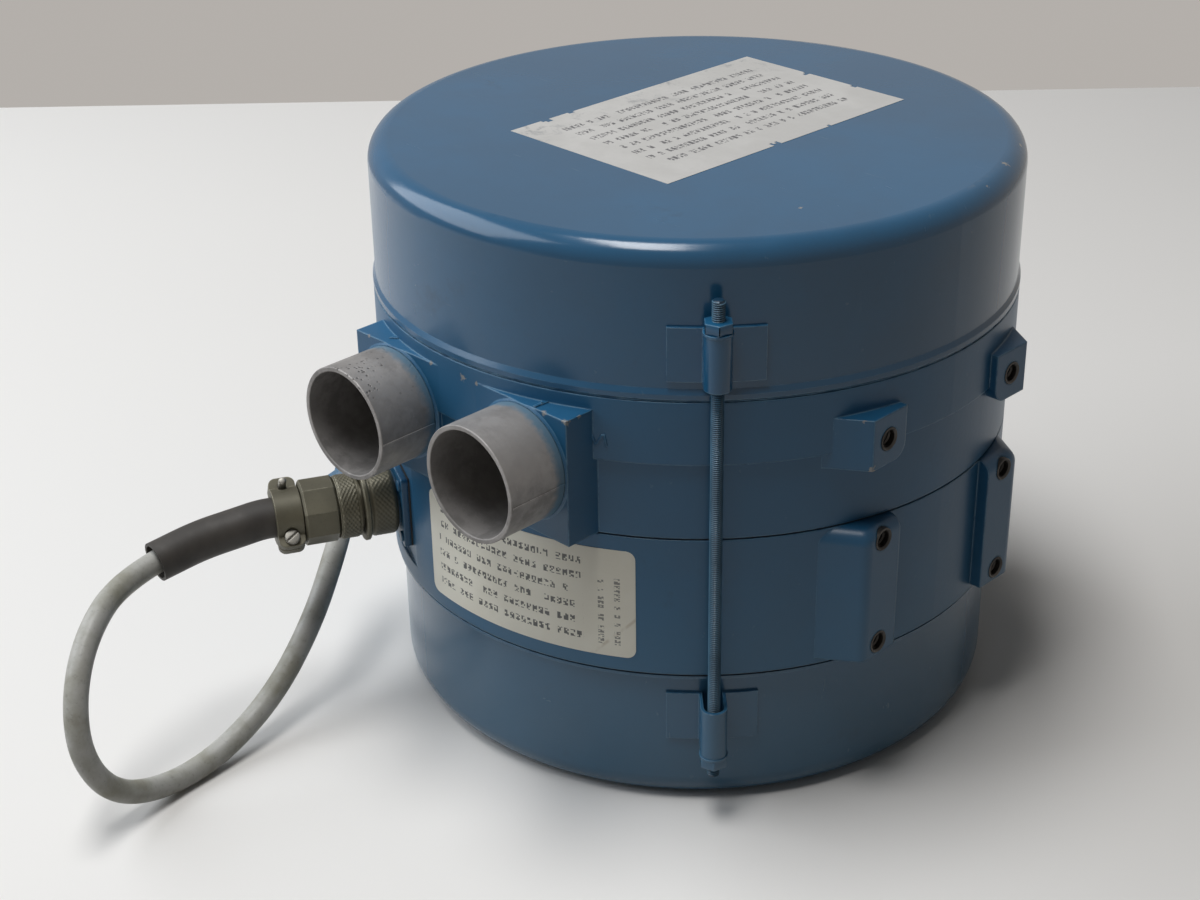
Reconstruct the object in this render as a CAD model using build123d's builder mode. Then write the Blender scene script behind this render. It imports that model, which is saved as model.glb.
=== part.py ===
from build123d import *
import math
import os

os.makedirs("parts", exist_ok=True)

# Canister, in millimetres. The origin is the centre of the underside, ports face -Y.
cover_radius = 127.0
cover_height = 56.5
cover_corner = 8.0
cover_bead = 1.0
cover_bead_height = 4.0
bottom_cover_radius = cover_radius - 4.2
bottom_cover_height = 59.2
bottom_cover_corner = 11.0
sheet = 1.6
seal = 1.0
joint_seal = 0.8

# Castings
casting_radius = cover_radius - 1.0
casting_wall = 7.0
band_radius = cover_radius + 0.9
band_height = 24.5
motor_housing_height = 57.4
blower_housing_height = 55.1

# Heights worked out from the stack of pieces
motor_housing_bottom = bottom_cover_height + seal
motor_housing_top = motor_housing_bottom + motor_housing_height
blower_bottom = motor_housing_top + joint_seal
blower_top = blower_bottom + blower_housing_height
band_bottom = blower_top - band_height
cover_bottom = blower_top + seal
cover_top = cover_bottom + cover_height

# Flow channel
channel_radius = 20.0
channel_wall = 14.0
channel_centre_radius = casting_radius - channel_wall - channel_radius
channel_outer = channel_centre_radius + channel_radius
channel_inner = channel_centre_radius - channel_radius
port_rise = blower_housing_height / 2 - 0.25
port_height = blower_bottom + port_rise
stripper_half_angle = 8.0
running_gap = 1.0
slip = 0.05

# Impeller
impeller_radius = channel_centre_radius + 15.0
impeller_rim_radius = channel_centre_radius - 12.0
impeller_rim_wall = 4.5
impeller_half_width = 10.0
impeller_disc = 5.0
vane_count = 40
vane_thickness = 2.2
vane_web = 2.4
vane_corner = 5.0
impeller_hub_radius = 22.0
impeller_hub_flare = 3.0
impeller_hub_length = 12.0
impeller_bottom = port_height - 5.8
impeller_top = impeller_bottom + impeller_hub_length
balance_hole_radius = 6.0
balance_hole_circle = impeller_rim_radius - 30.0
balance_hole_count = 6

# Ports
port_spacing = 69.2
port_radius = 22.225
port_wall = 1.9
port_bore = port_radius - port_wall
port_edge = 0.4
port_bead = 0.8
port_shank_radius = port_radius - 0.3
block_front = cover_radius + 0.5
block_half_width = 57.0
block_height = blower_housing_height - 5.2
block_depth = 47.5
block_back = block_front - block_depth
port_shoulder = block_front + port_bead + 0.4
port_reach = block_front + 26.5
port_root = block_front - 14.9
port_inner_end = channel_centre_radius - 4.0
port_places = [(-port_spacing / 2, port_height), (port_spacing / 2, port_height)]

# Mounting pads and inserts
pad_face = cover_radius + 1.0
pad_hole_offset = 37.3
pad_inner = 27.5
pad_outer = 46.0
pad_flank = 56.0
pad_root = math.sqrt(casting_radius**2 - pad_flank**2)
pad_back = pad_root - 15.0
upper_pad_height = 20.0
upper_pad_centre = blower_top - 20.5
lower_pad_top_hole = motor_housing_top - 5.6
lower_pad_bottom_hole = motor_housing_bottom + 7.8
pad_margin = 5.4
pad_corner = 6.0
pad_edge = 5.0
insert_radius = 4.5
insert_thread_radius = 3.2
insert_length = 9.0
insert_proud = 0.4

# Tie rods, brackets and nuts
rod_count = 3
rod_start = -44.0
rod_circle = cover_radius + 6.0
rod_radius = 2.415
rod_tip = 0.5
bracket_sheet = 1.2
bracket_width = 34.6
bracket_height = 20.5
barrel_radius = 5.0
upper_bracket_bottom = cover_bottom + 7.0
lower_bracket_bottom = bottom_cover_height - 29.2
upper_bracket_top = upper_bracket_bottom + bracket_height
nut_flats = 9.525
nut_height = 4.0
washer_radius = 5.4
washer_thickness = 0.9
rod_end_above = 7.7
rod_end_below = 5.1
upper_nut_bottom = upper_bracket_top + washer_thickness
lower_nut_top = lower_bracket_bottom - washer_thickness
rod_top = upper_nut_bottom + nut_height + rod_end_above
rod_bottom = lower_nut_top - nut_height - rod_end_below

# Bearings
bearing_radius = 23.5
bearing_width = 14.0
bell_depth = 40.2
lower_bearing_bottom = motor_housing_bottom - bell_depth
lower_bearing_top = lower_bearing_bottom + bearing_width
upper_bearing_bottom = blower_bottom
upper_bearing_top = upper_bearing_bottom + bearing_width
ball_radius = 3.9
ball_circle = 16.75
ball_count = 7
groove_gap = 0.2
inner_race_radius = 14.1
outer_race_radius = 19.4
cage_inner = 15.3
cage_outer = 18.2
cage_height = 10.0
cage_pocket_gap = 0.15
retainer_radius = 34.0
retainer_bore = outer_race_radius + 0.6
retainer_thickness = 3.0
retainer_screw_circle = 29.0
retainer_screw_count = 3
retainer_screw_radius = 1.5
retainer_screw_grip = 5.0

# Motor
shaft_radius = 10.0
shaft_core_radius = 13.0
shaft_seal_radius = 9.0
shaft_seat_radius = 8.0
shaft_chamfer = 1.0
shaft_bottom = lower_bearing_bottom - 2.0
seal_lip = 1.6
seal_height = 5.0
key_width = 5.0
key_depth = 2.4
washer_stack = 2.0
impeller_washer_radius = 14.0
impeller_nut_flats = 24.0
impeller_nut_height = 8.0
stack_bottom = motor_housing_bottom + 1.8
stack_height = motor_housing_height - 13.4
stator_radius = casting_radius - 40.0
stator_bore = stator_radius - 34.0
slot_count = 24
slot_depth = 19.0
slot_mouth = 2.4
slot_inner_width = 6.4
slot_outer_width = 10.6
slot_liner = 0.3
tooth_tip = 2.2
air_gap = 0.6
winding_overhang = 10.0
winding_shoulder = 4.0
rotor_bar_count = 18
rotor_bar_radius = 2.4
rotor_bar_circle = stator_bore - 6.0
rotor_ring_radius = stator_bore - 2.0
rotor_ring_height = 6.0
rotor_ring_wall = 14.0
rotor_fin_count = 9
rotor_fin_length = 10.0
rotor_fin_width = 2.4
rotor_fin_height = 2.0
protector_angle = 60.0
protector_length = 16.0
protector_width = 9.0
protector_thickness = 5.0
sleeve_radius = stator_radius + slip
sleeve_wall = 6.0
sleeve_bottom = motor_housing_bottom + 3.8
sleeve_height = motor_housing_height - 11.4
rib_count = 6
rib_start = 30.0
rib_thickness = 5.0
rib_inner = sleeve_radius + sleeve_wall - 1.0
rib_outer = casting_radius - 3.0
bell_flange = 6.0
bell_radius = stator_radius + 16.0
bell_wall = 7.0
bell_shoulder = 11.0
bell_screw_circle = stator_radius + 9.5
bell_screw_count = 4
bell_screw_boss = 5.5
bell_screw_grip = 12.0
bell_window_count = 6
bell_window_radius = 8.0
bell_window_circle = (stator_radius + bearing_radius + 4.5) / 2

# Electrical connector
connector_angle = -117.3
connector_height = motor_housing_bottom + 29.1
connector_flat = casting_radius - 1.6
connector_flat_width = 44.0
flange_side = 30.2
flange_thickness = 2.6
flange_gasket = 0.8
flange_hole_spacing = 23.0
flange_screw_radius = 1.4
flange_screw_grip = 4.0
flange_head_radius = 2.2
flange_head_height = 0.9
flange_corner = 1.5
flange_back = connector_flat + flange_gasket
flange_front = flange_back + flange_thickness
receptacle_radius = 11.0
receptacle_bore = 9.4
receptacle_length = 11.5
receptacle_back = 12.0
receptacle_front = flange_front + receptacle_length
pin_count = 4
pin_circle = 4.6
pin_radius = 1.2
coupling_radius = 13.9
coupling_start = connector_flat + 4.4
coupling_length = 13.4
coupling_end = coupling_start + coupling_length
coupling_bead_radius = 15.0
coupling_bead = 2.0
coupling_groove = 0.8
coupling_flutes = 44
coupling_flute = 0.9
coupling_bore = 11.1
coupling_lip = 1.0
insert_front = connector_flat + 4.8
plug_nose = connector_flat + 5.1
plug_bore = 8.2
plug_neck_radius = 9.6
plug_insert_length = 20.0
plug_thread = 3.8
grip_radius = 12.6
grip_length = 8.6
grip_start = coupling_end + 1.2
grip_end = grip_start + grip_length
backshell_flats = 24.6
backshell_start = grip_end + 0.2
backshell_length = 13.8
backshell_end = backshell_start + backshell_length
backshell_bore = 11.1
backshell_throat_gap = 0.6
backshell_chamfer = 0.8
clamp_start = backshell_end + 0.4
clamp_length = 10.6
clamp_wall = 3.0
clamp_ear_reach = 14.8
clamp_ear_thickness = 3.4
clamp_screw_offset = 11.2
clamp_screw_radius = 1.6
clamp_tilt = 50.0
clamp_split = 0.8
clamp_ear_corner = 3.0
clamp_head_radius = 3.0
clamp_head_height = 2.0
clamp_screw_length = 13.5
boot_radius = 8.0
boot_start = backshell_start + 5.8
boot_lead = 5.0
boot_mouth_depth = 5.0
boot_mouth_wall = 1.2

# Cable and its gland. Each point of a route is its distance out from the castings, its angle
# round the canister, and its share of the connector's height. The cable's route starts in the
# boot's mouth and ends in the gland; the boot's goes from the clamp to that mouth.
cable_radius = 4.65
cable_route = [
    (95.0, -115.17, 0.946),
    (114.7, -112.73, 0.929),
    (132.7, -108.01, 0.851),
    (144.0, -104.81, 0.672),
    (146.4, -103.37, 0.426),
    (135.7, -103.93, 0.179),
    (114.2, -105.95, 0.0),
    (88.1, -108.52, 0.0),
    (60.5, -112.71, 0.179),
    (39.5, -118.11, 0.403),
    (27.1, -124.62, 0.605),
    (20.9, -130.31, 0.750),
    (17.5, -135.28, 0.862),
]
boot_route = [(64.5, -116.83, 0.991), (81.1, -116.07, 0.974)]
gland_radius = 8.5
gland_shank_radius = 6.5
gland_arm = 15.0
gland_bend = 12.0
gland_nut_flats = 19.0
gland_nut_length = 9.0
gland_nut_bore = 5.0
gland_boss_radius = 14.0
gland_boss_face = casting_radius + 2.5
gland_collar = 4.0
gland_collar_flats = 22.0

# Channel cover and liner
lid_flange = 4.8
lid_gap = 0.2
lid_rim = casting_radius - 6.3
lid_ledge = blower_top - lid_flange - lid_gap
lid_screw_circle = lid_rim - 3.9
lid_screw_count = 8
lid_screw_start = 22.5
lid_screw_radius = 2.0
lid_screw_grip = 8.0
lid_plate = 5.0
lid_plate_bottom = blower_top - 8.5
lid_core = channel_inner - 8.0
lid_core_step = 3.0
lid_rib_count = 6
lid_rib_thickness = 4.0
liner_thickness = 9.0
liner_gap = 0.4
liner_rise = 1.5

# Screw heads
head_radius_ratio = 1.8
head_height_ratio = 1.2


def around(angle):
    """The plane through the canister's axis at this angle: local x outwards, local y up."""
    a = math.radians(angle)
    return Plane(origin=(0, 0, 0), x_dir=(math.cos(a), math.sin(a), 0), z_dir=(math.sin(a), -math.cos(a), 0))


def outward(angle, distance, height):
    """A plane that faces outwards at this angle: local x along the wall, local y up."""
    a = math.radians(angle)
    out = Vector(math.cos(a), math.sin(a), 0)
    return Plane(
        origin=out * distance + Vector(0, 0, height),
        x_dir=(-math.sin(a), math.cos(a), 0),
        z_dir=out,
    )


def polar(radius, angle, height):
    a = math.radians(angle)
    return Vector(radius * math.cos(a), radius * math.sin(a), height)


def keep(piece, name):
    piece.part.label = name
    export_step(piece.part, f"parts/{name}.step")


# The connector's axis points out of the lower casting. In its side plane local x is the
# distance from the canister's axis and local y is up.
plug_out = polar(1, connector_angle, 0)
plug_side = Plane(origin=(0, 0, connector_height), x_dir=plug_out, z_dir=plug_out.cross(Vector(0, 0, 1)))
plug_axis = Axis((0, 0, connector_height), plug_out)


def plug_face(distance):
    return outward(connector_angle, distance, connector_height)


def route_points(route):
    """The points of a route; a cable that reaches the ground lies on it."""
    return [
        polar(casting_radius + out, angle, max(share * connector_height, cable_radius + slip))
        for out, angle, share in route
    ]


cable_points = route_points(cable_route)


# Bottom cover: a drawn cup with a turned-out rim
with BuildPart() as bottom_cover:
    rim = casting_radius - 0.5
    with BuildSketch(Plane.XZ):
        with BuildLine():
            Polyline((0, 0), (bottom_cover_radius - bottom_cover_corner, 0))
            RadiusArc(
                (bottom_cover_radius - bottom_cover_corner, 0),
                (bottom_cover_radius, bottom_cover_corner),
                -bottom_cover_corner,
            )
            Polyline(
                (bottom_cover_radius, bottom_cover_corner),
                (bottom_cover_radius, bottom_cover_height - 2.6),
                (rim, bottom_cover_height - 1.2),
                (rim, bottom_cover_height),
                (bottom_cover_radius - sheet, bottom_cover_height),
                (bottom_cover_radius - sheet, bottom_cover_corner),
            )
            RadiusArc(
                (bottom_cover_radius - sheet, bottom_cover_corner),
                (bottom_cover_radius - bottom_cover_corner, sheet),
                bottom_cover_corner - sheet,
            )
            Polyline((bottom_cover_radius - bottom_cover_corner, sheet), (0, sheet), (0, 0))
        make_face()
    revolve(axis=Axis.Z)
keep(bottom_cover, "bottom_cover")

# Top cover: a drawn can, open downwards, with a small bead at its rim
with BuildPart() as top_cover:
    with BuildSketch(Plane.XZ):
        with BuildLine():
            Polyline(
                (0, cover_top),
                (0, cover_top - sheet),
                (cover_radius - cover_corner, cover_top - sheet),
            )
            RadiusArc(
                (cover_radius - cover_corner, cover_top - sheet),
                (cover_radius - sheet, cover_top - cover_corner),
                cover_corner - sheet,
            )
            Polyline(
                (cover_radius - sheet, cover_top - cover_corner),
                (cover_radius - sheet, cover_bottom + cover_bead_height),
                (cover_radius - 3 * sheet, cover_bottom + cover_bead_height / 2),
                (cover_radius - 3 * sheet, cover_bottom),
                (cover_radius + cover_bead, cover_bottom),
                (cover_radius + cover_bead, cover_bottom + cover_bead_height / 2),
                (cover_radius, cover_bottom + cover_bead_height),
                (cover_radius, cover_top - cover_corner),
            )
            RadiusArc(
                (cover_radius, cover_top - cover_corner),
                (cover_radius - cover_corner, cover_top),
                -cover_corner,
            )
            Polyline((cover_radius - cover_corner, cover_top), (0, cover_top))
        make_face()
    revolve(axis=Axis.Z)
keep(top_cover, "top_cover")

# Seals between the four shells
with BuildPart() as bottom_gasket:
    with BuildSketch(Plane.XY.offset(bottom_cover_height)):
        Circle(casting_radius - 1.0)
        Circle(bottom_cover_radius - 4 * sheet, mode=Mode.SUBTRACT)
    extrude(amount=seal)
keep(bottom_gasket, "bottom_gasket")

with BuildPart() as joint_gasket:
    with BuildSketch(Plane.XY.offset(motor_housing_top)):
        Circle(casting_radius - 0.8)
        Circle(casting_radius - 2 * casting_wall, mode=Mode.SUBTRACT)
    extrude(amount=joint_seal)
keep(joint_gasket, "joint_gasket")

with BuildPart() as top_gasket:
    with BuildSketch(Plane.XY.offset(blower_top)):
        Circle(band_radius - 0.7)
        Circle(lid_rim + 0.8, mode=Mode.SUBTRACT)
    extrude(amount=seal)
keep(top_gasket, "top_gasket")


def pad_outline(side):
    """Plan of a mounting boss on one side of the X axis, with its slanting outer flank."""
    return [
        (pad_face, side * pad_inner),
        (pad_face, side * pad_outer),
        (pad_root, side * pad_flank),
        (pad_back, side * pad_flank),
        (pad_back, side * pad_inner),
    ]


# Mounting bosses, made apart and joined to their castings
with BuildPart() as lower_pads:
    pad_low = lower_pad_bottom_hole - pad_margin
    with BuildSketch(Plane.XY.offset(pad_low)):
        Polygon(*pad_outline(1), align=None)
        Polygon(*pad_outline(-1), align=None)
        Circle(casting_radius - casting_wall, mode=Mode.SUBTRACT)
    extrude(amount=motor_housing_top - pad_low)
    flank_tops = lower_pads.edges().group_by(Axis.Z)[-1].filter_by(
        lambda e: abs(e.center().X - (pad_face + pad_root) / 2) < 0.1
    )
    fillet(flank_tops, radius=pad_corner)
    outer_edges = lower_pads.edges().filter_by(Axis.Z).filter_by(
        lambda e: abs(e.center().X - pad_face) < 0.1 and abs(abs(e.center().Y) - pad_outer) < 0.1
    )
    fillet(outer_edges, radius=pad_edge)

with BuildPart() as upper_pads:
    with BuildSketch(Plane.XY.offset(upper_pad_centre - upper_pad_height / 2)):
        Polygon(*pad_outline(1), align=None)
        Polygon(*pad_outline(-1), align=None)
        Circle(lid_rim + lid_gap, mode=Mode.SUBTRACT)
    extrude(amount=upper_pad_height)
    inner_feet = upper_pads.edges().group_by(Axis.Z)[0].filter_by(
        lambda e: abs(abs(e.center().Y) - pad_inner) < 0.1
    )
    fillet(inner_feet, radius=pad_corner)


def pad_holes(*heights):
    return [(side * pad_hole_offset, z) for side in (-1, 1) for z in heights]


# Motor housing: the lower casting, with four insert bosses and the connector's flat
with BuildPart() as motor_housing:
    with BuildSketch(Plane.XZ):
        inner = casting_radius - casting_wall
        Polygon(
            (inner, motor_housing_bottom + 5),
            (inner - casting_wall, motor_housing_bottom),
            (casting_radius, motor_housing_bottom),
            (casting_radius, motor_housing_top),
            (inner - casting_wall, motor_housing_top),
            (inner, motor_housing_top - 7),
            align=None,
        )
    revolve(axis=Axis.Z)
    # Stator sleeve with its ribs and screw bosses
    with BuildSketch(Plane.XY.offset(sleeve_bottom)):
        Circle(sleeve_radius + sleeve_wall)
        with PolarLocations((rib_inner + rib_outer) / 2, rib_count, start_angle=rib_start):
            Rectangle(rib_outer - rib_inner, rib_thickness)
        with PolarLocations(bell_screw_circle, bell_screw_count, start_angle=45):
            Circle(bell_screw_boss)
        Circle(sleeve_radius, mode=Mode.SUBTRACT)
    extrude(amount=sleeve_height)
    with BuildSketch(Plane.XY.offset(sleeve_bottom)):
        with PolarLocations(bell_screw_circle, bell_screw_count, start_angle=45):
            Circle(lid_screw_radius)
    extrude(amount=bell_screw_grip + 2, mode=Mode.SUBTRACT)
    # Lower mounting bosses
    add(lower_pads.part)
    # Flat for the connector, its cable hole, and the round boss for the gland
    with BuildSketch(plug_face(connector_flat)):
        Rectangle(connector_flat_width, connector_flat_width)
    extrude(amount=20, mode=Mode.SUBTRACT)
    with BuildSketch(plug_face(connector_flat)):
        Circle(receptacle_bore + 1.0)
    extrude(amount=-casting_wall - 4, mode=Mode.SUBTRACT)
    with BuildSketch(plug_face(connector_flat)):
        with GridLocations(flange_hole_spacing, flange_hole_spacing, 2, 2):
            Circle(flange_screw_radius)
    extrude(amount=-flange_screw_grip - 1, mode=Mode.SUBTRACT)
    gland_end = cable_points[-1]
    gland_way = (gland_end - cable_points[-2]).normalized()
    gland_corner = gland_end + gland_way * gland_arm
    gland_angle = math.degrees(math.atan2(gland_corner.Y, gland_corner.X))
    with BuildSketch(outward(gland_angle, casting_radius - casting_wall + 1, gland_corner.Z)):
        Circle(gland_boss_radius)
    extrude(amount=gland_boss_face - casting_radius + casting_wall - 1)
    with BuildSketch(outward(gland_angle, gland_boss_face, gland_corner.Z)):
        Circle(gland_shank_radius)
    extrude(amount=-casting_wall - 6, mode=Mode.SUBTRACT)
    with BuildSketch(Plane.YZ.offset(pad_face)):
        with Locations(*pad_holes(lower_pad_bottom_hole, lower_pad_top_hole)):
            Circle(insert_radius)
    extrude(amount=-insert_length, mode=Mode.SUBTRACT)
keep(motor_housing, "motor_housing")

# Blower housing: the upper casting, with the port block, the channel and the upper bearing seat
with BuildPart() as blower_housing:
    web_top = blower_bottom + 7.5
    seat_top = upper_bearing_bottom + bearing_width
    hub_top = impeller_bottom - running_gap
    with BuildSketch(Plane.XZ):
        Polygon(
            (bearing_radius + slip, blower_bottom),
            (casting_radius, blower_bottom),
            (casting_radius, band_bottom),
            (band_radius, band_bottom),
            (band_radius, blower_top),
            (lid_rim + lid_gap, blower_top),
            (lid_rim + lid_gap, lid_ledge),
            (channel_outer + lid_gap, lid_ledge),
            (channel_outer + lid_gap, port_height),
            (channel_inner, port_height - impeller_disc / 2 - running_gap),
            (channel_inner - casting_wall, port_height - impeller_disc / 2 - running_gap),
            (channel_inner - casting_wall, web_top),
            (bearing_radius + casting_wall, web_top),
            (bearing_radius + casting_wall - 2, hub_top),
            (shaft_core_radius, hub_top),
            (shaft_core_radius, seat_top),
            (bearing_radius + slip, seat_top),
            align=None,
        )
        with Locations((channel_centre_radius, port_height)):
            Circle(channel_radius, mode=Mode.SUBTRACT)
    revolve(axis=Axis.Z)
    # The stripper closes the ring channel between the ports
    with BuildSketch(around(-90 - stripper_half_angle)):
        with Locations((channel_centre_radius, port_height)):
            Circle(channel_radius + slip)
        with Locations((channel_centre_radius, port_height + channel_radius)):
            Rectangle(3 * channel_radius, 2 * channel_radius, mode=Mode.SUBTRACT)
    revolve(axis=Axis.Z, revolution_arc=2 * stripper_half_angle)
    # Port block in front of the casting, rounded round each port on its inner side
    with BuildSketch(Plane.XY.offset(blower_bottom)):
        with Locations((0, -(block_front + block_back) / 2)):
            Rectangle(2 * block_half_width, block_front - block_back)
        Circle(channel_outer + casting_wall, mode=Mode.SUBTRACT)
    extrude(amount=block_height)
    with BuildSketch(Plane.XY.offset(blower_bottom)):
        with Locations((0, -block_front)):
            Rectangle(2 * (port_spacing / 2 - port_radius - 1), 2 * (block_front - casting_radius))
        Circle(casting_radius, mode=Mode.SUBTRACT)
    extrude(amount=band_bottom - blower_bottom, mode=Mode.SUBTRACT)
    for x, z in port_places:
        with BuildSketch(Plane.XZ.offset(block_front)):
            with Locations((x, z)):
                Circle(port_radius + port_bead)
        extrude(amount=port_bead, taper=45)
    with BuildSketch(Plane.XY.offset(blower_bottom + block_height)):
        with Locations((0, -block_front)):
            Rectangle(3 * block_half_width, 2 * casting_wall)
        Circle(band_radius, mode=Mode.SUBTRACT)
    extrude(amount=port_bead + 1, mode=Mode.SUBTRACT)
    add(upper_pads.part)
    with BuildSketch(Plane.XY.offset(port_height - impeller_half_width - running_gap)):
        Circle(impeller_radius + running_gap)
        Circle(impeller_rim_radius - impeller_rim_wall - running_gap, mode=Mode.SUBTRACT)
    extrude(amount=2 * (impeller_half_width + running_gap), mode=Mode.SUBTRACT)
    with BuildSketch(Plane.XY.offset(port_height - impeller_disc / 2 - running_gap)):
        Circle(impeller_rim_radius - impeller_rim_wall)
    extrude(amount=impeller_disc + 2 * running_gap, mode=Mode.SUBTRACT)
    for x, z in port_places:
        with BuildSketch(Plane.XZ.offset(port_root)):
            with Locations((x, z)):
                Circle(port_shank_radius + slip)
        extrude(amount=port_reach - port_root, mode=Mode.SUBTRACT)
        with BuildSketch(Plane.XZ.offset(port_inner_end)):
            with Locations((x, z)):
                Circle(port_bore)
        extrude(amount=port_root - port_inner_end, mode=Mode.SUBTRACT)
    with BuildSketch(Plane.XY.offset(lid_ledge)):
        with PolarLocations(lid_screw_circle, lid_screw_count, start_angle=lid_screw_start):
            Circle(lid_screw_radius)
    extrude(amount=-lid_screw_grip - 2, mode=Mode.SUBTRACT)
    with BuildSketch(Plane.XY.offset(blower_bottom)):
        with PolarLocations(retainer_screw_circle, retainer_screw_count, start_angle=30):
            Circle(retainer_screw_radius + slip)
    extrude(amount=retainer_screw_grip + 1, mode=Mode.SUBTRACT)
    with BuildSketch(Plane.YZ.offset(pad_face)):
        with Locations(*pad_holes(upper_pad_centre)):
            Circle(insert_radius)
    extrude(amount=-insert_length, mode=Mode.SUBTRACT)
keep(blower_housing, "blower_housing")


def ring_channel():
    """The round channel that the vanes run in, left open between the ports by the stripper."""
    with BuildPart(mode=Mode.PRIVATE) as channel:
        with BuildSketch(around(-90 + stripper_half_angle)):
            with Locations((channel_centre_radius, port_height)):
                Circle(channel_radius)
        revolve(axis=Axis.Z, revolution_arc=360 - 2 * stripper_half_angle)
    return channel.part


# Channel cover: the upper half of the channel, closed over the impeller
with BuildPart() as channel_cover:
    lid_plate_top = lid_plate_bottom + lid_plate
    lid_top = lid_ledge + lid_flange
    disc_clear = port_height + impeller_disc / 2 + running_gap
    with BuildSketch(Plane.XZ):
        Polygon(
            (0, lid_plate_bottom),
            (lid_core, lid_plate_bottom),
            (lid_core, disc_clear),
            (channel_inner, disc_clear),
            (channel_outer - lid_gap, port_height),
            (channel_outer - lid_gap, lid_ledge),
            (lid_rim, lid_ledge),
            (lid_rim, lid_top),
            (lid_core + lid_core_step, lid_top),
            (lid_core, lid_plate_top),
            (0, lid_plate_top),
            align=None,
        )
    revolve(axis=Axis.Z)
    with BuildSketch(Plane.XY.offset(lid_plate_top)):
        Circle(impeller_hub_radius)
        with PolarLocations((lid_core + impeller_hub_radius) / 2, lid_rib_count):
            Rectangle(lid_core - impeller_hub_radius + 2, lid_rib_thickness)
    extrude(amount=lid_top - lid_plate_top)
    add(ring_channel(), mode=Mode.SUBTRACT)
    with BuildSketch(Plane.XY.offset(port_height - impeller_half_width - running_gap)):
        Circle(impeller_radius + running_gap)
        Circle(impeller_rim_radius - impeller_rim_wall - running_gap, mode=Mode.SUBTRACT)
    extrude(amount=2 * (impeller_half_width + running_gap), mode=Mode.SUBTRACT)
    for x, z in port_places:
        with BuildSketch(Plane.XZ.offset(port_inner_end)):
            with Locations((x, z)):
                Circle(port_bore)
        extrude(amount=port_root - port_inner_end, mode=Mode.SUBTRACT)
    with BuildSketch(Plane.XY.offset(lid_top)):
        with PolarLocations(lid_screw_circle, lid_screw_count, start_angle=lid_screw_start):
            Circle(lid_screw_radius + 2 * slip)
    extrude(amount=-lid_flange, mode=Mode.SUBTRACT)
keep(channel_cover, "channel_cover")

with BuildPart() as channel_cover_screws:
    with BuildSketch(Plane.XY.offset(lid_top)):
        with PolarLocations(lid_screw_circle, lid_screw_count, start_angle=lid_screw_start):
            Circle(head_radius_ratio * lid_screw_radius)
    extrude(amount=head_height_ratio * lid_screw_radius)
    with BuildSketch(Plane.XY.offset(lid_top)):
        with PolarLocations(lid_screw_circle, lid_screw_count, start_angle=lid_screw_start):
            Circle(lid_screw_radius - slip)
    extrude(amount=-lid_flange - lid_screw_grip)
keep(channel_cover_screws, "channel_cover_screws")

# Foam cup inside the top cover
with BuildPart() as acoustic_liner:
    liner_radius = cover_radius - sheet - liner_gap
    liner_top = cover_top - sheet - liner_gap
    liner_bottom = cover_bottom + cover_bead_height + liner_rise
    with BuildSketch(Plane.XZ):
        Polygon(
            (0, liner_top),
            (0, liner_top - liner_thickness),
            (liner_radius - liner_thickness, liner_top - liner_thickness),
            (liner_radius - liner_thickness, liner_bottom),
            (liner_radius, liner_bottom),
            (liner_radius, liner_top - cover_corner),
            (liner_radius - cover_corner, liner_top),
            align=None,
        )
    revolve(axis=Axis.Z)
keep(acoustic_liner, "acoustic_liner")

# Impeller: a hub and disc that carry a ring of rounded vanes on both sides of a thin web
with BuildPart() as vane:
    with BuildSketch(Plane.XZ.offset(-vane_thickness / 2)) as vane_side:
        with Locations(((impeller_rim_radius + impeller_radius) / 2 - 0.5, port_height)):
            Rectangle(impeller_radius - impeller_rim_radius + 1, 2 * impeller_half_width)
        fillet(vane_side.vertices().group_by(Axis.X)[-1], radius=vane_corner)
    extrude(amount=vane_thickness)

with BuildPart() as impeller:
    with BuildSketch(Plane.XZ):
        Polygon(
            (shaft_seat_radius + slip, impeller_bottom),
            (impeller_hub_radius, impeller_bottom),
            (impeller_hub_radius + impeller_hub_flare, port_height - impeller_disc / 2),
            (impeller_rim_radius - impeller_rim_wall, port_height - impeller_disc / 2),
            (impeller_rim_radius - impeller_rim_wall, port_height - impeller_half_width),
            (impeller_rim_radius, port_height - impeller_half_width),
            (impeller_rim_radius, port_height - vane_web / 2),
            (impeller_radius - 2, port_height - vane_web / 2),
            (impeller_radius - 2, port_height + vane_web / 2),
            (impeller_rim_radius, port_height + vane_web / 2),
            (impeller_rim_radius, port_height + impeller_half_width),
            (impeller_rim_radius - impeller_rim_wall, port_height + impeller_half_width),
            (impeller_rim_radius - impeller_rim_wall, port_height + impeller_disc / 2),
            (impeller_hub_radius + impeller_hub_flare, port_height + impeller_disc / 2),
            (impeller_hub_radius, impeller_top),
            (shaft_seat_radius + slip, impeller_top),
            align=None,
        )
    revolve(axis=Axis.Z)
    with PolarLocations(0, vane_count):
        add(vane.part)
    with BuildSketch(Plane.XY.offset(port_height - impeller_disc)):
        with PolarLocations(balance_hole_circle, balance_hole_count, start_angle=30):
            Circle(balance_hole_radius)
        with Locations((shaft_seat_radius, 0)):
            Rectangle(2 * (key_depth + slip), key_width + 2 * slip)
    extrude(amount=2 * impeller_disc, mode=Mode.SUBTRACT)
    with BuildSketch(Plane.XY.offset(impeller_bottom)):
        with Locations((shaft_seat_radius, 0)):
            Rectangle(2 * (key_depth + slip), key_width + 2 * slip)
    extrude(amount=impeller_hub_length, mode=Mode.SUBTRACT)
keep(impeller, "impeller")

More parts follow.
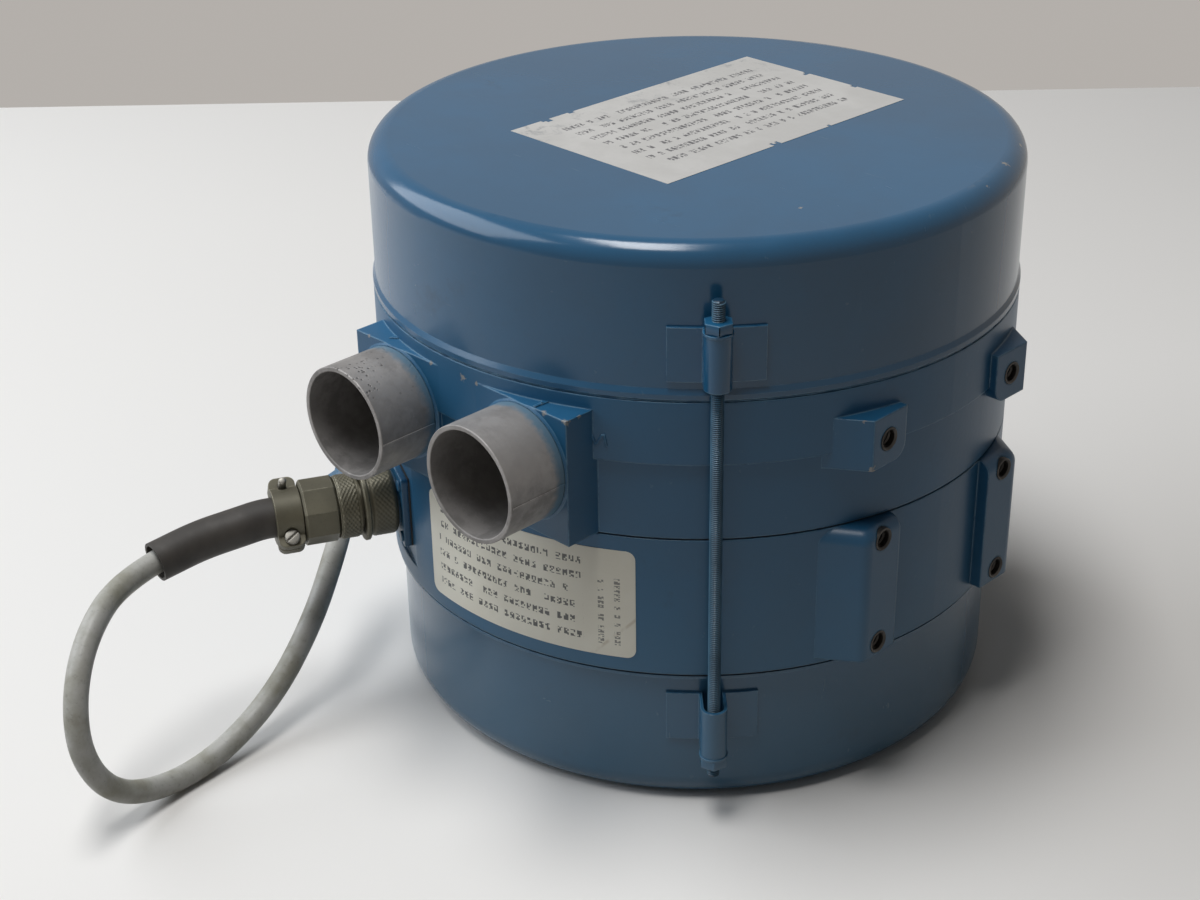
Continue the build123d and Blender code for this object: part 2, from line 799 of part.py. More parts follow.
# Motor shaft, stepped for both bearings, the seal and the impeller
shaft_top = impeller_top + washer_stack + impeller_nut_height + 2.0
with BuildPart() as motor_shaft:
    with BuildSketch(Plane.XZ):
        Polygon(
            (0, shaft_bottom),
            (shaft_radius - shaft_chamfer, shaft_bottom),
            (shaft_radius, shaft_bottom + shaft_chamfer),
            (shaft_radius, lower_bearing_top),
            (shaft_core_radius, lower_bearing_top),
            (shaft_core_radius, upper_bearing_bottom),
            (shaft_radius, upper_bearing_bottom),
            (shaft_radius, upper_bearing_top),
            (shaft_seal_radius, upper_bearing_top),
            (shaft_seal_radius, impeller_bottom),
            (shaft_seat_radius, impeller_bottom),
            (shaft_seat_radius, shaft_top - shaft_chamfer),
            (shaft_seat_radius - shaft_chamfer, shaft_top),
            (0, shaft_top),
            align=None,
        )
    revolve(axis=Axis.Z)
    with BuildSketch(Plane.XY.offset(impeller_bottom)):
        with Locations((shaft_seat_radius, 0)):
            Rectangle(2 * (key_depth + slip), key_width + 2 * slip)
    extrude(amount=impeller_hub_length, mode=Mode.SUBTRACT)
keep(motor_shaft, "motor_shaft")

with BuildPart() as impeller_key:
    with BuildSketch(Plane.XY.offset(impeller_bottom)):
        with Locations((shaft_seat_radius, 0)):
            Rectangle(2 * key_depth, key_width)
    extrude(amount=impeller_hub_length)
keep(impeller_key, "impeller_key")

with BuildPart() as impeller_washer:
    with BuildSketch(Plane.XY.offset(impeller_top)):
        Circle(impeller_washer_radius)
        Circle(shaft_seat_radius + slip, mode=Mode.SUBTRACT)
    extrude(amount=washer_stack)
keep(impeller_washer, "impeller_washer")

with BuildPart() as impeller_nut:
    with BuildSketch(Plane.XY.offset(impeller_top + washer_stack)):
        RegularPolygon(impeller_nut_flats / 2, 6, major_radius=False)
        Circle(shaft_seat_radius + slip, mode=Mode.SUBTRACT)
    extrude(amount=impeller_nut_height)
keep(impeller_nut, "impeller_nut")

# Lip seal between the bearing and the impeller
with BuildPart() as shaft_seal:
    seal_middle = upper_bearing_top + seal_height / 2 + 0.6
    with BuildSketch(Plane.XZ):
        Polygon(
            (shaft_seal_radius + slip, seal_middle - 0.5),
            (shaft_seal_radius + seal_lip, seal_middle - seal_height / 2),
            (shaft_core_radius - slip, seal_middle - seal_height / 2),
            (shaft_core_radius - slip, seal_middle + seal_height / 2),
            (shaft_seal_radius + seal_lip, seal_middle + seal_height / 2),
            (shaft_seal_radius + slip, seal_middle + 0.5),
            align=None,
        )
    revolve(axis=Axis.Z)
keep(shaft_seal, "shaft_seal")

# Two deep-groove ball bearings of one size
bearing_bottoms = (lower_bearing_bottom, upper_bearing_bottom)
with BuildPart() as bearing_outer_rings:
    for bottom in bearing_bottoms:
        with BuildSketch(Plane.XZ):
            with Locations(((outer_race_radius + bearing_radius) / 2, bottom + bearing_width / 2)):
                Rectangle(bearing_radius - outer_race_radius, bearing_width)
            with Locations((ball_circle, bottom + bearing_width / 2)):
                Circle(ball_radius + groove_gap, mode=Mode.SUBTRACT)
        revolve(axis=Axis.Z)
keep(bearing_outer_rings, "bearing_outer_rings")

with BuildPart() as bearing_inner_rings:
    for bottom in bearing_bottoms:
        with BuildSketch(Plane.XZ):
            with Locations(((shaft_radius + slip + inner_race_radius) / 2, bottom + bearing_width / 2)):
                Rectangle(inner_race_radius - shaft_radius - slip, bearing_width)
            with Locations((ball_circle, bottom + bearing_width / 2)):
                Circle(ball_radius + groove_gap, mode=Mode.SUBTRACT)
        revolve(axis=Axis.Z)
keep(bearing_inner_rings, "bearing_inner_rings")

with BuildPart() as bearing_balls:
    for bottom in bearing_bottoms:
        with Locations(Plane.XY.offset(bottom + bearing_width / 2)):
            with PolarLocations(ball_circle, ball_count):
                Sphere(ball_radius)
keep(bearing_balls, "bearing_balls")

with BuildPart() as bearing_cages:
    for bottom in bearing_bottoms:
        with BuildSketch(Plane.XY.offset(bottom + (bearing_width - cage_height) / 2)):
            Circle(cage_outer)
            Circle(cage_inner, mode=Mode.SUBTRACT)
        extrude(amount=cage_height)
        for turn in range(ball_count):
            with BuildSketch(outward(turn * 360 / ball_count, 0, bottom + bearing_width / 2)):
                Circle(ball_radius + cage_pocket_gap)
            extrude(amount=cage_outer + 1, mode=Mode.SUBTRACT)
keep(bearing_cages, "bearing_cages")

# Plate that holds the upper bearing in its seat, and the screws that fix it
with BuildPart() as bearing_retainer:
    with BuildSketch(Plane.XY.offset(blower_bottom - retainer_thickness)):
        Circle(retainer_radius)
        Circle(retainer_bore, mode=Mode.SUBTRACT)
        with PolarLocations(retainer_screw_circle, retainer_screw_count, start_angle=30):
            Circle(retainer_screw_radius + 2 * slip, mode=Mode.SUBTRACT)
    extrude(amount=retainer_thickness)
keep(bearing_retainer, "bearing_retainer")

with BuildPart() as retainer_screws:
    with BuildSketch(Plane.XY.offset(blower_bottom - retainer_thickness)):
        with PolarLocations(retainer_screw_circle, retainer_screw_count, start_angle=30):
            Circle(head_radius_ratio * retainer_screw_radius)
    extrude(amount=-head_height_ratio * retainer_screw_radius)
    with BuildSketch(Plane.XY.offset(blower_bottom - retainer_thickness)):
        with PolarLocations(retainer_screw_circle, retainer_screw_count, start_angle=30):
            Circle(retainer_screw_radius)
    extrude(amount=retainer_thickness + retainer_screw_grip)
keep(retainer_screws, "retainer_screws")

# Motor: laminated stator with its slots, windings that fill them, and the cage rotor
stack_top = stack_bottom + stack_height
slot_start = stator_bore + tooth_tip
slot_end = slot_start + slot_depth
with BuildPart() as stator_core:
    with BuildSketch(Plane.XY.offset(stack_bottom)):
        Circle(stator_radius)
        Circle(stator_bore, mode=Mode.SUBTRACT)
        with PolarLocations(0, slot_count):
            Polygon(
                (stator_bore - 1, -slot_mouth / 2),
                (slot_start, -slot_mouth / 2),
                (slot_start, -slot_inner_width / 2),
                (slot_end, -slot_outer_width / 2),
                (slot_end, slot_outer_width / 2),
                (slot_start, slot_inner_width / 2),
                (slot_start, slot_mouth / 2),
                (stator_bore - 1, slot_mouth / 2),
                align=None,
                mode=Mode.SUBTRACT,
            )
    extrude(amount=stack_height)
keep(stator_core, "stator_core")

with BuildPart() as stator_windings:
    with BuildSketch(Plane.XY.offset(stack_bottom)):
        with PolarLocations(0, slot_count):
            Polygon(
                (slot_start + slot_liner, slot_liner - slot_inner_width / 2),
                (slot_end - slot_liner, slot_liner - slot_outer_width / 2),
                (slot_end - slot_liner, slot_outer_width / 2 - slot_liner),
                (slot_start + slot_liner, slot_inner_width / 2 - slot_liner),
                align=None,
            )
    extrude(amount=stack_height)
    for face, way in ((stack_bottom, -1), (stack_top, 1)):
        with BuildSketch(Plane.XZ):
            Polygon(
                (slot_start + slot_liner, face),
                (slot_end - slot_liner, face),
                (slot_end + winding_shoulder, face + way * winding_shoulder),
                (slot_end + winding_shoulder / 2, face + way * winding_overhang),
                (slot_start + winding_shoulder, face + way * winding_overhang),
                (slot_start + 1, face + way * winding_shoulder),
                align=None,
            )
        revolve(axis=Axis.Z)
keep(stator_windings, "stator_windings")

with BuildPart() as rotor_core:
    with BuildSketch(Plane.XY.offset(stack_bottom)):
        Circle(stator_bore - air_gap)
        Circle(shaft_core_radius + slip, mode=Mode.SUBTRACT)
        with PolarLocations(rotor_bar_circle, rotor_bar_count):
            Circle(rotor_bar_radius + slip, mode=Mode.SUBTRACT)
    extrude(amount=stack_height)
keep(rotor_core, "rotor_core")

with BuildPart() as rotor_cage:
    with BuildSketch(Plane.XY.offset(stack_bottom)):
        with PolarLocations(rotor_bar_circle, rotor_bar_count):
            Circle(rotor_bar_radius)
    extrude(amount=stack_height)
    for face, way in ((stack_bottom, -1), (stack_top, 1)):
        with BuildSketch(Plane.XY.offset(face)):
            Circle(rotor_ring_radius)
            Circle(rotor_ring_radius - rotor_ring_wall, mode=Mode.SUBTRACT)
        extrude(amount=way * rotor_ring_height)
        with BuildSketch(Plane.XY.offset(face + way * rotor_ring_height)):
            with PolarLocations(rotor_ring_radius - rotor_ring_wall / 2, rotor_fin_count):
                Rectangle(rotor_fin_length, rotor_fin_width)
        extrude(amount=way * rotor_fin_height)
keep(rotor_cage, "rotor_cage")

# End bell: closes the motor below and carries the lower bearing
with BuildPart() as motor_end_bell:
    bell_top = sleeve_bottom
    bell_floor = lower_bearing_top + bell_shoulder
    bell_skirt = stator_radius + 5
    with BuildSketch(Plane.XZ):
        Polygon(
            (bell_radius, bell_top),
            (bell_radius, bell_top - bell_flange),
            (bell_skirt, bell_top - bell_flange),
            (bell_skirt - 4, bell_floor - bell_wall + 2),
            (bearing_radius + 12.5, lower_bearing_bottom + 10),
            (bearing_radius + 8.5, shaft_bottom - 1),
            (shaft_radius + 2.5, shaft_bottom - 1),
            (shaft_radius + 2.5, lower_bearing_bottom),
            (bearing_radius + slip, lower_bearing_bottom),
            (bearing_radius + slip, lower_bearing_top + 0.2),
            (bearing_radius + 6.5, lower_bearing_top + 2),
            (stator_radius - 6, bell_floor),
            (sleeve_radius, stack_bottom - 1),
            (sleeve_radius, bell_top),
            align=None,
        )
    revolve(axis=Axis.Z)
    with BuildSketch(Plane.XY.offset(lower_bearing_bottom)):
        with PolarLocations(bell_window_circle, bell_window_count, start_angle=15):
            Circle(bell_window_radius)
    extrude(amount=bell_top - lower_bearing_bottom, mode=Mode.SUBTRACT)
    with BuildSketch(Plane.XY.offset(bell_top)):
        with PolarLocations(bell_screw_circle, bell_screw_count, start_angle=45):
            Circle(lid_screw_radius + 2 * slip)
    extrude(amount=-bell_flange, mode=Mode.SUBTRACT)
keep(motor_end_bell, "motor_end_bell")

with BuildPart() as end_bell_screws:
    with BuildSketch(Plane.XY.offset(bell_top - bell_flange)):
        with PolarLocations(bell_screw_circle, bell_screw_count, start_angle=45):
            Circle(head_radius_ratio * lid_screw_radius)
    extrude(amount=-head_height_ratio * lid_screw_radius)
    with BuildSketch(Plane.XY.offset(bell_top - bell_flange)):
        with PolarLocations(bell_screw_circle, bell_screw_count, start_angle=45):
            Circle(lid_screw_radius - slip)
    extrude(amount=bell_flange + bell_screw_grip)
keep(end_bell_screws, "end_bell_screws")

# Thermal cut-out tied under the lower end turn
with BuildPart() as thermal_protector:
    with BuildSketch(Plane.XY.offset(stack_bottom - winding_overhang - slip)):
        with Locations(polar((slot_start + slot_end) / 2 + 3, protector_angle, 0)):
            RectangleRounded(protector_length, protector_width, protector_width / 4)
    extrude(amount=-protector_thickness)
keep(thermal_protector, "thermal_protector")

# Port tubes, each with a thinner shank pressed into the block
for (x, z), name in zip(port_places, ("outlet_tube", "inlet_tube")):
    with BuildPart() as port_tube:
        with BuildSketch(Plane.XZ.offset(port_root)):
            with Locations((x, z)):
                Circle(port_shank_radius)
        extrude(amount=port_shoulder - port_root)
        with BuildSketch(Plane.XZ.offset(port_shoulder)):
            with Locations((x, z)):
                Circle(port_radius)
        extrude(amount=port_reach - port_shoulder)
        with BuildSketch(Plane.XZ.offset(port_root)):
            with Locations((x, z)):
                Circle(port_bore)
        extrude(amount=port_reach - port_root, mode=Mode.SUBTRACT)
        fillet(port_tube.edges().group_by(Axis.Y)[0], radius=port_edge)
    keep(port_tube, name)

# Tie rods that clamp the shells together, with their nuts and washers
with BuildPart() as tie_rods:
    with BuildSketch(Plane.XY.offset(rod_bottom)):
        with PolarLocations(rod_circle, rod_count, start_angle=rod_start):
            Circle(rod_radius)
    extrude(amount=rod_top - rod_bottom)
    chamfer(tie_rods.edges().group_by(Axis.Z)[0], length=rod_tip)
    chamfer(tie_rods.edges().group_by(Axis.Z)[-1], length=rod_tip)
keep(tie_rods, "tie_rods")

with BuildPart() as rod_washers:
    for bottom in (upper_bracket_top, lower_nut_top):
        with BuildSketch(Plane.XY.offset(bottom)):
            with PolarLocations(rod_circle, rod_count, start_angle=rod_start):
                Circle(washer_radius)
                Circle(rod_radius + 2 * slip, mode=Mode.SUBTRACT)
        extrude(amount=washer_thickness)
keep(rod_washers, "rod_washers")

with BuildPart() as rod_nuts:
    for bottom in (upper_nut_bottom, lower_nut_top - nut_height):
        with BuildSketch(Plane.XY.offset(bottom)):
            with PolarLocations(rod_circle, rod_count, start_angle=rod_start):
                RegularPolygon(nut_flats / 2, 6, major_radius=False)
                Circle(rod_radius + slip, mode=Mode.SUBTRACT)
        extrude(amount=nut_height)
keep(rod_nuts, "rod_nuts")

# Hat-shaped brackets that hold the rods against the two covers
for name, bottom, wall in (
    ("upper_brackets", upper_bracket_bottom, cover_radius),
    ("lower_brackets", lower_bracket_bottom, bottom_cover_radius),
):
    with BuildPart() as brackets:
        with BuildSketch(Plane.XY.offset(bottom)):
            Circle(wall + bracket_sheet)
            with Locations((wall, 0)):
                Rectangle(2 * wall, bracket_width, mode=Mode.INTERSECT)
            with Locations(((wall + rod_circle) / 2, 0)):
                Rectangle(rod_circle - wall, 2 * barrel_radius)
            with Locations((rod_circle, 0)):
                Circle(barrel_radius)
                Circle(barrel_radius - bracket_sheet, mode=Mode.SUBTRACT)
            with Locations((rod_circle / 2, 0)):
                Rectangle(rod_circle, 2 * (barrel_radius - bracket_sheet), mode=Mode.SUBTRACT)
            Circle(wall, mode=Mode.SUBTRACT)
        extrude(amount=bracket_height)
    with BuildPart() as bracket_set:
        with PolarLocations(0, rod_count, start_angle=rod_start):
            add(brackets.part)
    keep(bracket_set, name)

# Threaded inserts in the mounting bosses
with BuildPart() as threaded_inserts:
    insert_places = pad_holes(lower_pad_bottom_hole, lower_pad_top_hole, upper_pad_centre)
    with BuildSketch(Plane.YZ.offset(pad_face - insert_length)):
        with Locations(*insert_places):
            Circle(insert_radius - slip)
            Circle(insert_thread_radius, mode=Mode.SUBTRACT)
    extrude(amount=insert_length + insert_proud)
keep(threaded_inserts, "threaded_inserts")

# Receptacle on the motor housing: gasket, shell, insulator and pins
with BuildPart() as receptacle_gasket:
    with BuildSketch(plug_face(connector_flat)):
        RectangleRounded(flange_side, flange_side, flange_corner)
        Circle(receptacle_radius, mode=Mode.SUBTRACT)
        with GridLocations(flange_hole_spacing, flange_hole_spacing, 2, 2):
            Circle(flange_screw_radius + slip, mode=Mode.SUBTRACT)
    extrude(amount=flange_gasket)
keep(receptacle_gasket, "receptacle_gasket")

with BuildPart() as receptacle_shell:
    with BuildSketch(plug_face(flange_back)):
        RectangleRounded(flange_side, flange_side, flange_corner)
        with GridLocations(flange_hole_spacing, flange_hole_spacing, 2, 2):
            Circle(flange_screw_radius + slip, mode=Mode.SUBTRACT)
    extrude(amount=flange_thickness)
    with BuildSketch(plug_face(flange_front)):
        Circle(receptacle_radius)
    extrude(amount=receptacle_length)
    with BuildSketch(plug_face(flange_back)):
        Circle(receptacle_bore + 0.8)
    extrude(amount=-receptacle_back)
    with BuildSketch(plug_face(flange_back - receptacle_back)):
        Circle(receptacle_bore)
    extrude(amount=receptacle_front - flange_back + receptacle_back, mode=Mode.SUBTRACT)
keep(receptacle_shell, "receptacle_shell")

pin_back = flange_back - receptacle_back - 2
with BuildPart() as receptacle_insert:
    with BuildSketch(plug_face(flange_back - receptacle_back + 1)):
        Circle(receptacle_bore - slip)
        with PolarLocations(pin_circle, pin_count, start_angle=45):
            Circle(pin_radius + slip, mode=Mode.SUBTRACT)
    extrude(amount=insert_front - flange_back + receptacle_back - 1)
keep(receptacle_insert, "receptacle_insert")

with BuildPart() as receptacle_pins:
    with BuildSketch(plug_face(pin_back)):
        with PolarLocations(pin_circle, pin_count, start_angle=45):
            Circle(pin_radius)
    extrude(amount=receptacle_front - 2 - pin_back)
keep(receptacle_pins, "receptacle_pins")

with BuildPart() as receptacle_screws:
    with BuildSketch(plug_face(flange_front)):
        with GridLocations(flange_hole_spacing, flange_hole_spacing, 2, 2):
            Circle(flange_head_radius)
    extrude(amount=flange_head_height)
    with BuildSketch(plug_face(flange_front)):
        with GridLocations(flange_hole_spacing, flange_hole_spacing, 2, 2):
            Circle(flange_screw_radius - slip)
    extrude(amount=-flange_thickness - flange_gasket - flange_screw_grip)
keep(receptacle_screws, "receptacle_screws")

# Coupling nut that draws the plug onto the receptacle
with BuildPart() as coupling_nut:
    with BuildSketch(plug_side):
        Polygon(
            (coupling_start, coupling_bore),
            (coupling_start, coupling_radius - 1.5),
            (coupling_start + 1.5, coupling_radius),
            (coupling_end - coupling_bead - 2 * coupling_groove, coupling_radius),
            (coupling_end - coupling_bead - coupling_groove, coupling_radius - 0.4),
            (coupling_end - coupling_bead, coupling_bead_radius),
            (coupling_end, coupling_bead_radius),
            (coupling_end, plug_neck_radius + groove_gap),
            (coupling_end - coupling_lip, plug_neck_radius + groove_gap),
            (coupling_end - coupling_lip, coupling_bore),
            align=None,
        )
    revolve(axis=plug_axis)
    with BuildSketch(plug_face(coupling_start)):
        with PolarLocations(coupling_radius, coupling_flutes):
            Rectangle(coupling_flute, coupling_flute, rotation=45)
    extrude(amount=coupling_length - coupling_bead - 2 * coupling_groove, mode=Mode.SUBTRACT)
keep(coupling_nut, "coupling_nut")

# Plug: shell with its knurled grip, and the socket insulator
with BuildPart() as plug_shell:
    shoulder_end = coupling_end - coupling_lip - groove_gap
    with BuildSketch(plug_side):
        Polygon(
            (plug_nose, plug_bore),
            (plug_nose, plug_bore + 1),
            (shoulder_end - coupling_lip, plug_bore + 1),
            (shoulder_end - coupling_lip, coupling_bore - 0.3),
            (shoulder_end, coupling_bore - 0.3),
            (shoulder_end, plug_neck_radius),
            (grip_start, plug_neck_radius),
            (grip_start, grip_radius),
            (grip_end, grip_radius),
            (grip_end, backshell_bore - groove_gap),
            (backshell_start + plug_thread, backshell_bore - groove_gap),
            (backshell_start + plug_thread, plug_bore),
            align=None,
        )
    revolve(axis=plug_axis)
keep(plug_shell, "plug_shell")

with BuildPart() as plug_insert:
    with BuildSketch(plug_face(insert_front + 0.3)):
        Circle(plug_bore - slip)
        with PolarLocations(pin_circle, pin_count, start_angle=45):
            Circle(pin_radius + 3 * slip, mode=Mode.SUBTRACT)
    extrude(amount=plug_insert_length)
keep(plug_insert, "plug_insert")

# Backshell: an octagonal nut behind the grip
with BuildPart() as backshell:
    with BuildSketch(plug_face(backshell_start)):
        RegularPolygon(backshell_flats / 2, 8, major_radius=False, rotation=22.5)
    extrude(amount=backshell_length)
    chamfer(backshell.faces().filter_by(Plane(origin=(0, 0, 0), z_dir=plug_out)).edges(), length=backshell_chamfer)
    with BuildSketch(plug_face(backshell_start)):
        Circle(backshell_bore)
    extrude(amount=plug_thread + 1, mode=Mode.SUBTRACT)
    with BuildSketch(plug_face(backshell_start)):
        Circle(boot_radius + backshell_throat_gap)
    extrude(amount=backshell_length, mode=Mode.SUBTRACT)
keep(backshell, "backshell")

# Two-part cable clamp. In its plane local y crosses the split, local x runs along it.
clamp_radians = math.radians(clamp_tilt)
side_way = Vector(plug_out.Y * -1, plug_out.X, 0)
ear_way = side_way * -math.sin(clamp_radians) + Vector(0, 0, math.cos(clamp_radians))
clamp_plane = Plane(
    origin=plug_out * clamp_start + Vector(0, 0, connector_height),
    x_dir=ear_way * -1,
    z_dir=plug_out,
)
ear_face = clamp_split / 2 + clamp_ear_thickness
for name, half in (("clamp_base", -1), ("clamp_saddle", 1)):
    with BuildPart() as clamp_half:
        with BuildSketch(clamp_plane):
            Circle(boot_radius + slip + clamp_wall)
            with Locations((0, half * (clamp_split + clamp_ear_thickness) / 2)):
                Rectangle(2 * clamp_ear_reach, clamp_ear_thickness)
            Circle(boot_radius + slip, mode=Mode.SUBTRACT)
            with Locations((0, half * (clamp_split / 2 + clamp_ear_reach))):
                Rectangle(3 * clamp_ear_reach, 2 * clamp_ear_reach, mode=Mode.INTERSECT)
        extrude(amount=clamp_length)
        ear_ends = clamp_half.edges().filter_by(Axis(clamp_plane.origin, clamp_plane.y_dir)).filter_by(
            lambda e: abs(clamp_plane.to_local_coords(e.center()).X) > clamp_ear_reach - 0.1
        )
        fillet(ear_ends, radius=clamp_ear_corner)
        clamp_face = Plane(
            origin=clamp_plane.from_local_coords(Vector(0, 0, clamp_length / 2)),
            x_dir=clamp_plane.x_dir,
            z_dir=clamp_plane.y_dir,
        )
        with BuildSketch(clamp_face):
            with Locations((-clamp_screw_offset, 0), (clamp_screw_offset, 0)):
                Circle(clamp_screw_radius + 2 * slip)
        extrude(amount=2 * half * clamp_ear_reach, mode=Mode.SUBTRACT)
        with BuildSketch(clamp_face.offset(half * ear_face)):
            with Locations((-clamp_screw_offset, 0), (clamp_screw_offset, 0)):
                Circle(clamp_head_radius + 2 * slip)
        extrude(amount=half * clamp_ear_reach, mode=Mode.SUBTRACT)
    keep(clamp_half, name)

with BuildPart() as clamp_screws:
    for x, way in ((-clamp_screw_offset, -1), (clamp_screw_offset, 1)):
        with BuildSketch(clamp_face.offset(way * ear_face)):
            with Locations((x, 0)):
                Circle(clamp_head_radius)
        extrude(amount=way * clamp_head_height)
        with BuildSketch(clamp_face.offset(way * ear_face)):
            with Locations((x, 0)):
                Circle(clamp_screw_radius)
        extrude(amount=-way * clamp_screw_length)
keep(clamp_screws, "clamp_screws")


def tangent_arcs(points):
    """Straight runs joined by arcs, each as large as its two runs allow."""
    radii = []
    for before, here, after in zip(points, points[1:], points[2:]):
        run_in = here - before
        run_out = after - here
        half_turn = math.radians(run_in.get_angle(run_out)) / 2
        radii.append(0.45 * min(run_in.length, run_out.length) / math.tan(half_turn))
    return FilletPolyline(*points, radius=radii), radii


# Rubber boot over the cable, held in the clamp and left open at its mouth
cable_way = (cable_points[1] - cable_points[0]).normalized()
boot_mouth = cable_points[0] + cable_way * boot_mouth_depth
boot_points = [plug_out * boot_start + Vector(0, 0, connector_height)]
boot_points.append(plug_out * (clamp_start + clamp_length + boot_lead) + Vector(0, 0, connector_height))
boot_points.extend(route_points(boot_route))
boot_points.append(boot_mouth)
with BuildPart() as cable_sleeve:
    with BuildLine() as boot_line:
        boot_path, boot_radii = tangent_arcs(boot_points)
    with BuildSketch(Plane(origin=boot_points[0], z_dir=plug_out)):
        Circle(boot_radius)
    sweep()
    with BuildSketch(Plane(origin=cable_points[0], z_dir=cable_way)):
        Circle(boot_radius - boot_mouth_wall)
    extrude(amount=2 * boot_mouth_depth, mode=Mode.SUBTRACT)
keep(cable_sleeve, "cable_sleeve")

# Cable, from the floor of the boot's mouth to the gland
with BuildPart() as cable:
    with BuildLine() as cable_line:
        cable_path, cable_radii = tangent_arcs(cable_points)
    with BuildSketch(Plane(origin=cable_points[0], z_dir=cable_way)):
        Circle(cable_radius)
    sweep()
keep(cable, "cable")
cable_length = cable_line.wires()[0].length
print("boot radii", [round(r, 1) for r in boot_radii])
print("cable radii", [round(r, 1) for r in cable_radii], "length", round(cable_length, 1))
print("cable volume ratio", round(cable.part.volume / (math.pi * cable_radius**2 * cable_length), 4))

# Elbow gland where the cable enters the motor housing
gland_out = polar(1, gland_angle, 0)
with BuildPart() as gland_body:
    with BuildSketch(outward(gland_angle, gland_boss_face, gland_corner.Z)):
        RegularPolygon(gland_collar_flats / 2, 6, major_radius=False)
    extrude(amount=gland_collar)
    with BuildSketch(outward(gland_angle, gland_boss_face, gland_corner.Z)):
        Circle(gland_shank_radius - slip)
    extrude(amount=-casting_wall - 4)
    with BuildLine():
        FilletPolyline(
            gland_out * gland_boss_face + Vector(0, 0, gland_corner.Z),
            gland_corner,
            gland_end,
            radius=gland_bend,
        )
    with BuildSketch(outward(gland_angle, gland_boss_face, gland_corner.Z)):
        Circle(gland_radius)
    sweep()
keep(gland_body, "gland_body")

with BuildPart() as gland_nut:
    with BuildSketch(Plane(origin=gland_end, z_dir=gland_way)):
        RegularPolygon(gland_nut_flats / 2, 6, major_radius=False)
        Circle(gland_nut_bore, mode=Mode.SUBTRACT)
    extrude(amount=-gland_nut_length)
keep(gland_nut, "gland_nut")
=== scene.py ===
"""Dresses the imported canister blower: paint, labels, threads, cable and the studio around it."""

import math

import bmesh
import bpy
from mathutils import Matrix, Vector, noise


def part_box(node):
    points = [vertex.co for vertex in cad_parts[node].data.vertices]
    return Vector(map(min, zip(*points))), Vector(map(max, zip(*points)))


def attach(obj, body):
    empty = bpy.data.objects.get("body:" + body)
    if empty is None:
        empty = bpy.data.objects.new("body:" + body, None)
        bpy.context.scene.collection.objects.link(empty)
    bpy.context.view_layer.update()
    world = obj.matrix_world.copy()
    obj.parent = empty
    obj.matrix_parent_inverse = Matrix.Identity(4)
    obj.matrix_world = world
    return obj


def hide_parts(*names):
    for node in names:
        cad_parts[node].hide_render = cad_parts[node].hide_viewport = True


bl_info = {
    "name": "Canister Blower Dressing",
    "version": (1, 0, 0),
    "blender": (4, 5, 0),
    "location": "View3D > Sidebar > Blower",
    "description": "Adds finishes, labels, threads, the cable loop and a studio to the blower's frame",
    "category": "Object",
}

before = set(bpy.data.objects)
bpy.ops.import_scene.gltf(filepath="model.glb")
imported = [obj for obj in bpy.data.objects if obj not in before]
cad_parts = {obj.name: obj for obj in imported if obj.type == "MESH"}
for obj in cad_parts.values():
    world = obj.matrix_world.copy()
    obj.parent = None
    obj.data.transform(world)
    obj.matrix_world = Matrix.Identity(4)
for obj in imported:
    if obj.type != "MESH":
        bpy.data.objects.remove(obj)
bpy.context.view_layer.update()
MM = 0.001

# The photograph's frame: 1200 by 900 pixels
PHOTO_WIDTH = 1200
FOCAL_PIXELS = 2065.0
SENSOR_WIDTH = 36.0
CAMERA_PLACE = Vector((518.6, -566.4, 488.6)) * MM
CAMERA_FORWARD = Vector((-0.6316, 0.6229, -0.4616)).normalized()
CAMERA_ROLL = math.radians(-1.0)
NEAREST_SEEN = 0.01
FURTHEST_SEEN = 50.0

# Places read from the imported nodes
COVER_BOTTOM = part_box("top_cover")[0].z
CANISTER_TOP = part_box("top_cover")[1].z
BAND_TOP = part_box("blower_housing")[1].z
INLET_LOW, INLET_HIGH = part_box("inlet_tube")
PORT_HEIGHT = (INLET_LOW.z + INLET_HIGH.z) / 2
PORT_RADIUS = (INLET_HIGH.z - INLET_LOW.z) / 2
PORT_X = (INLET_LOW.x + INLET_HIGH.x) / 2
PORT_MOUTH = INLET_LOW.y

# Sizes of the castings that no node's box gives
CASTING_RADIUS = 126.0 * MM
BAND_RADIUS = 127.9 * MM
BLOCK_FRONT = -127.5 * MM
BLOCK_TOP = 168.3 * MM

# The connector points out of the lower casting at this angle, at this height
PLUG_ANGLE = math.radians(-117.3)
PLUG_HEIGHT = 89.3 * MM
CLAMP_TILT = math.radians(50.0)
CLAMP_DISTANCE = 171.7 * MM

# Tie rods, their nuts and the threaded inserts
ROD_COUNT = 3
ROD_START = math.radians(-44.0)
ROD_CIRCLE = 133.0 * MM
ROD_RADIUS = 2.415 * MM
NUT_FLATS = 9.525 * MM
NUT_HEIGHT = 4.0 * MM
NUT_TURN = math.radians(30.0)
INSERT_BORE = 3.3 * MM
INSERT_DEPTH = 9.4 * MM
INSERT_PITCH = 1.27 * MM
INSERT_ASIDE = 37.3 * MM
INSERT_HEIGHTS = (68.0, 112.0, 153.0)

# Cable centreline, in metres: from the boot's mouth to the gland
CABLE_ROUTE = [
    (-0.094, -0.200, 0.0845),
    (-0.093, -0.222, 0.083),
    (-0.080, -0.246, 0.076),
    (-0.069, -0.261, 0.060),
    (-0.063, -0.265, 0.038),
    (-0.063, -0.254, 0.016),
    (-0.066, -0.231, 0.0047),
    (-0.068, -0.203, 0.0047),
    (-0.072, -0.172, 0.016),
    (-0.078, -0.146, 0.036),
    (-0.087, -0.126, 0.054),
    (-0.095, -0.112, 0.067),
    (-0.102, -0.101, 0.077),
]
CABLE_RADIUS = 4.65 * MM

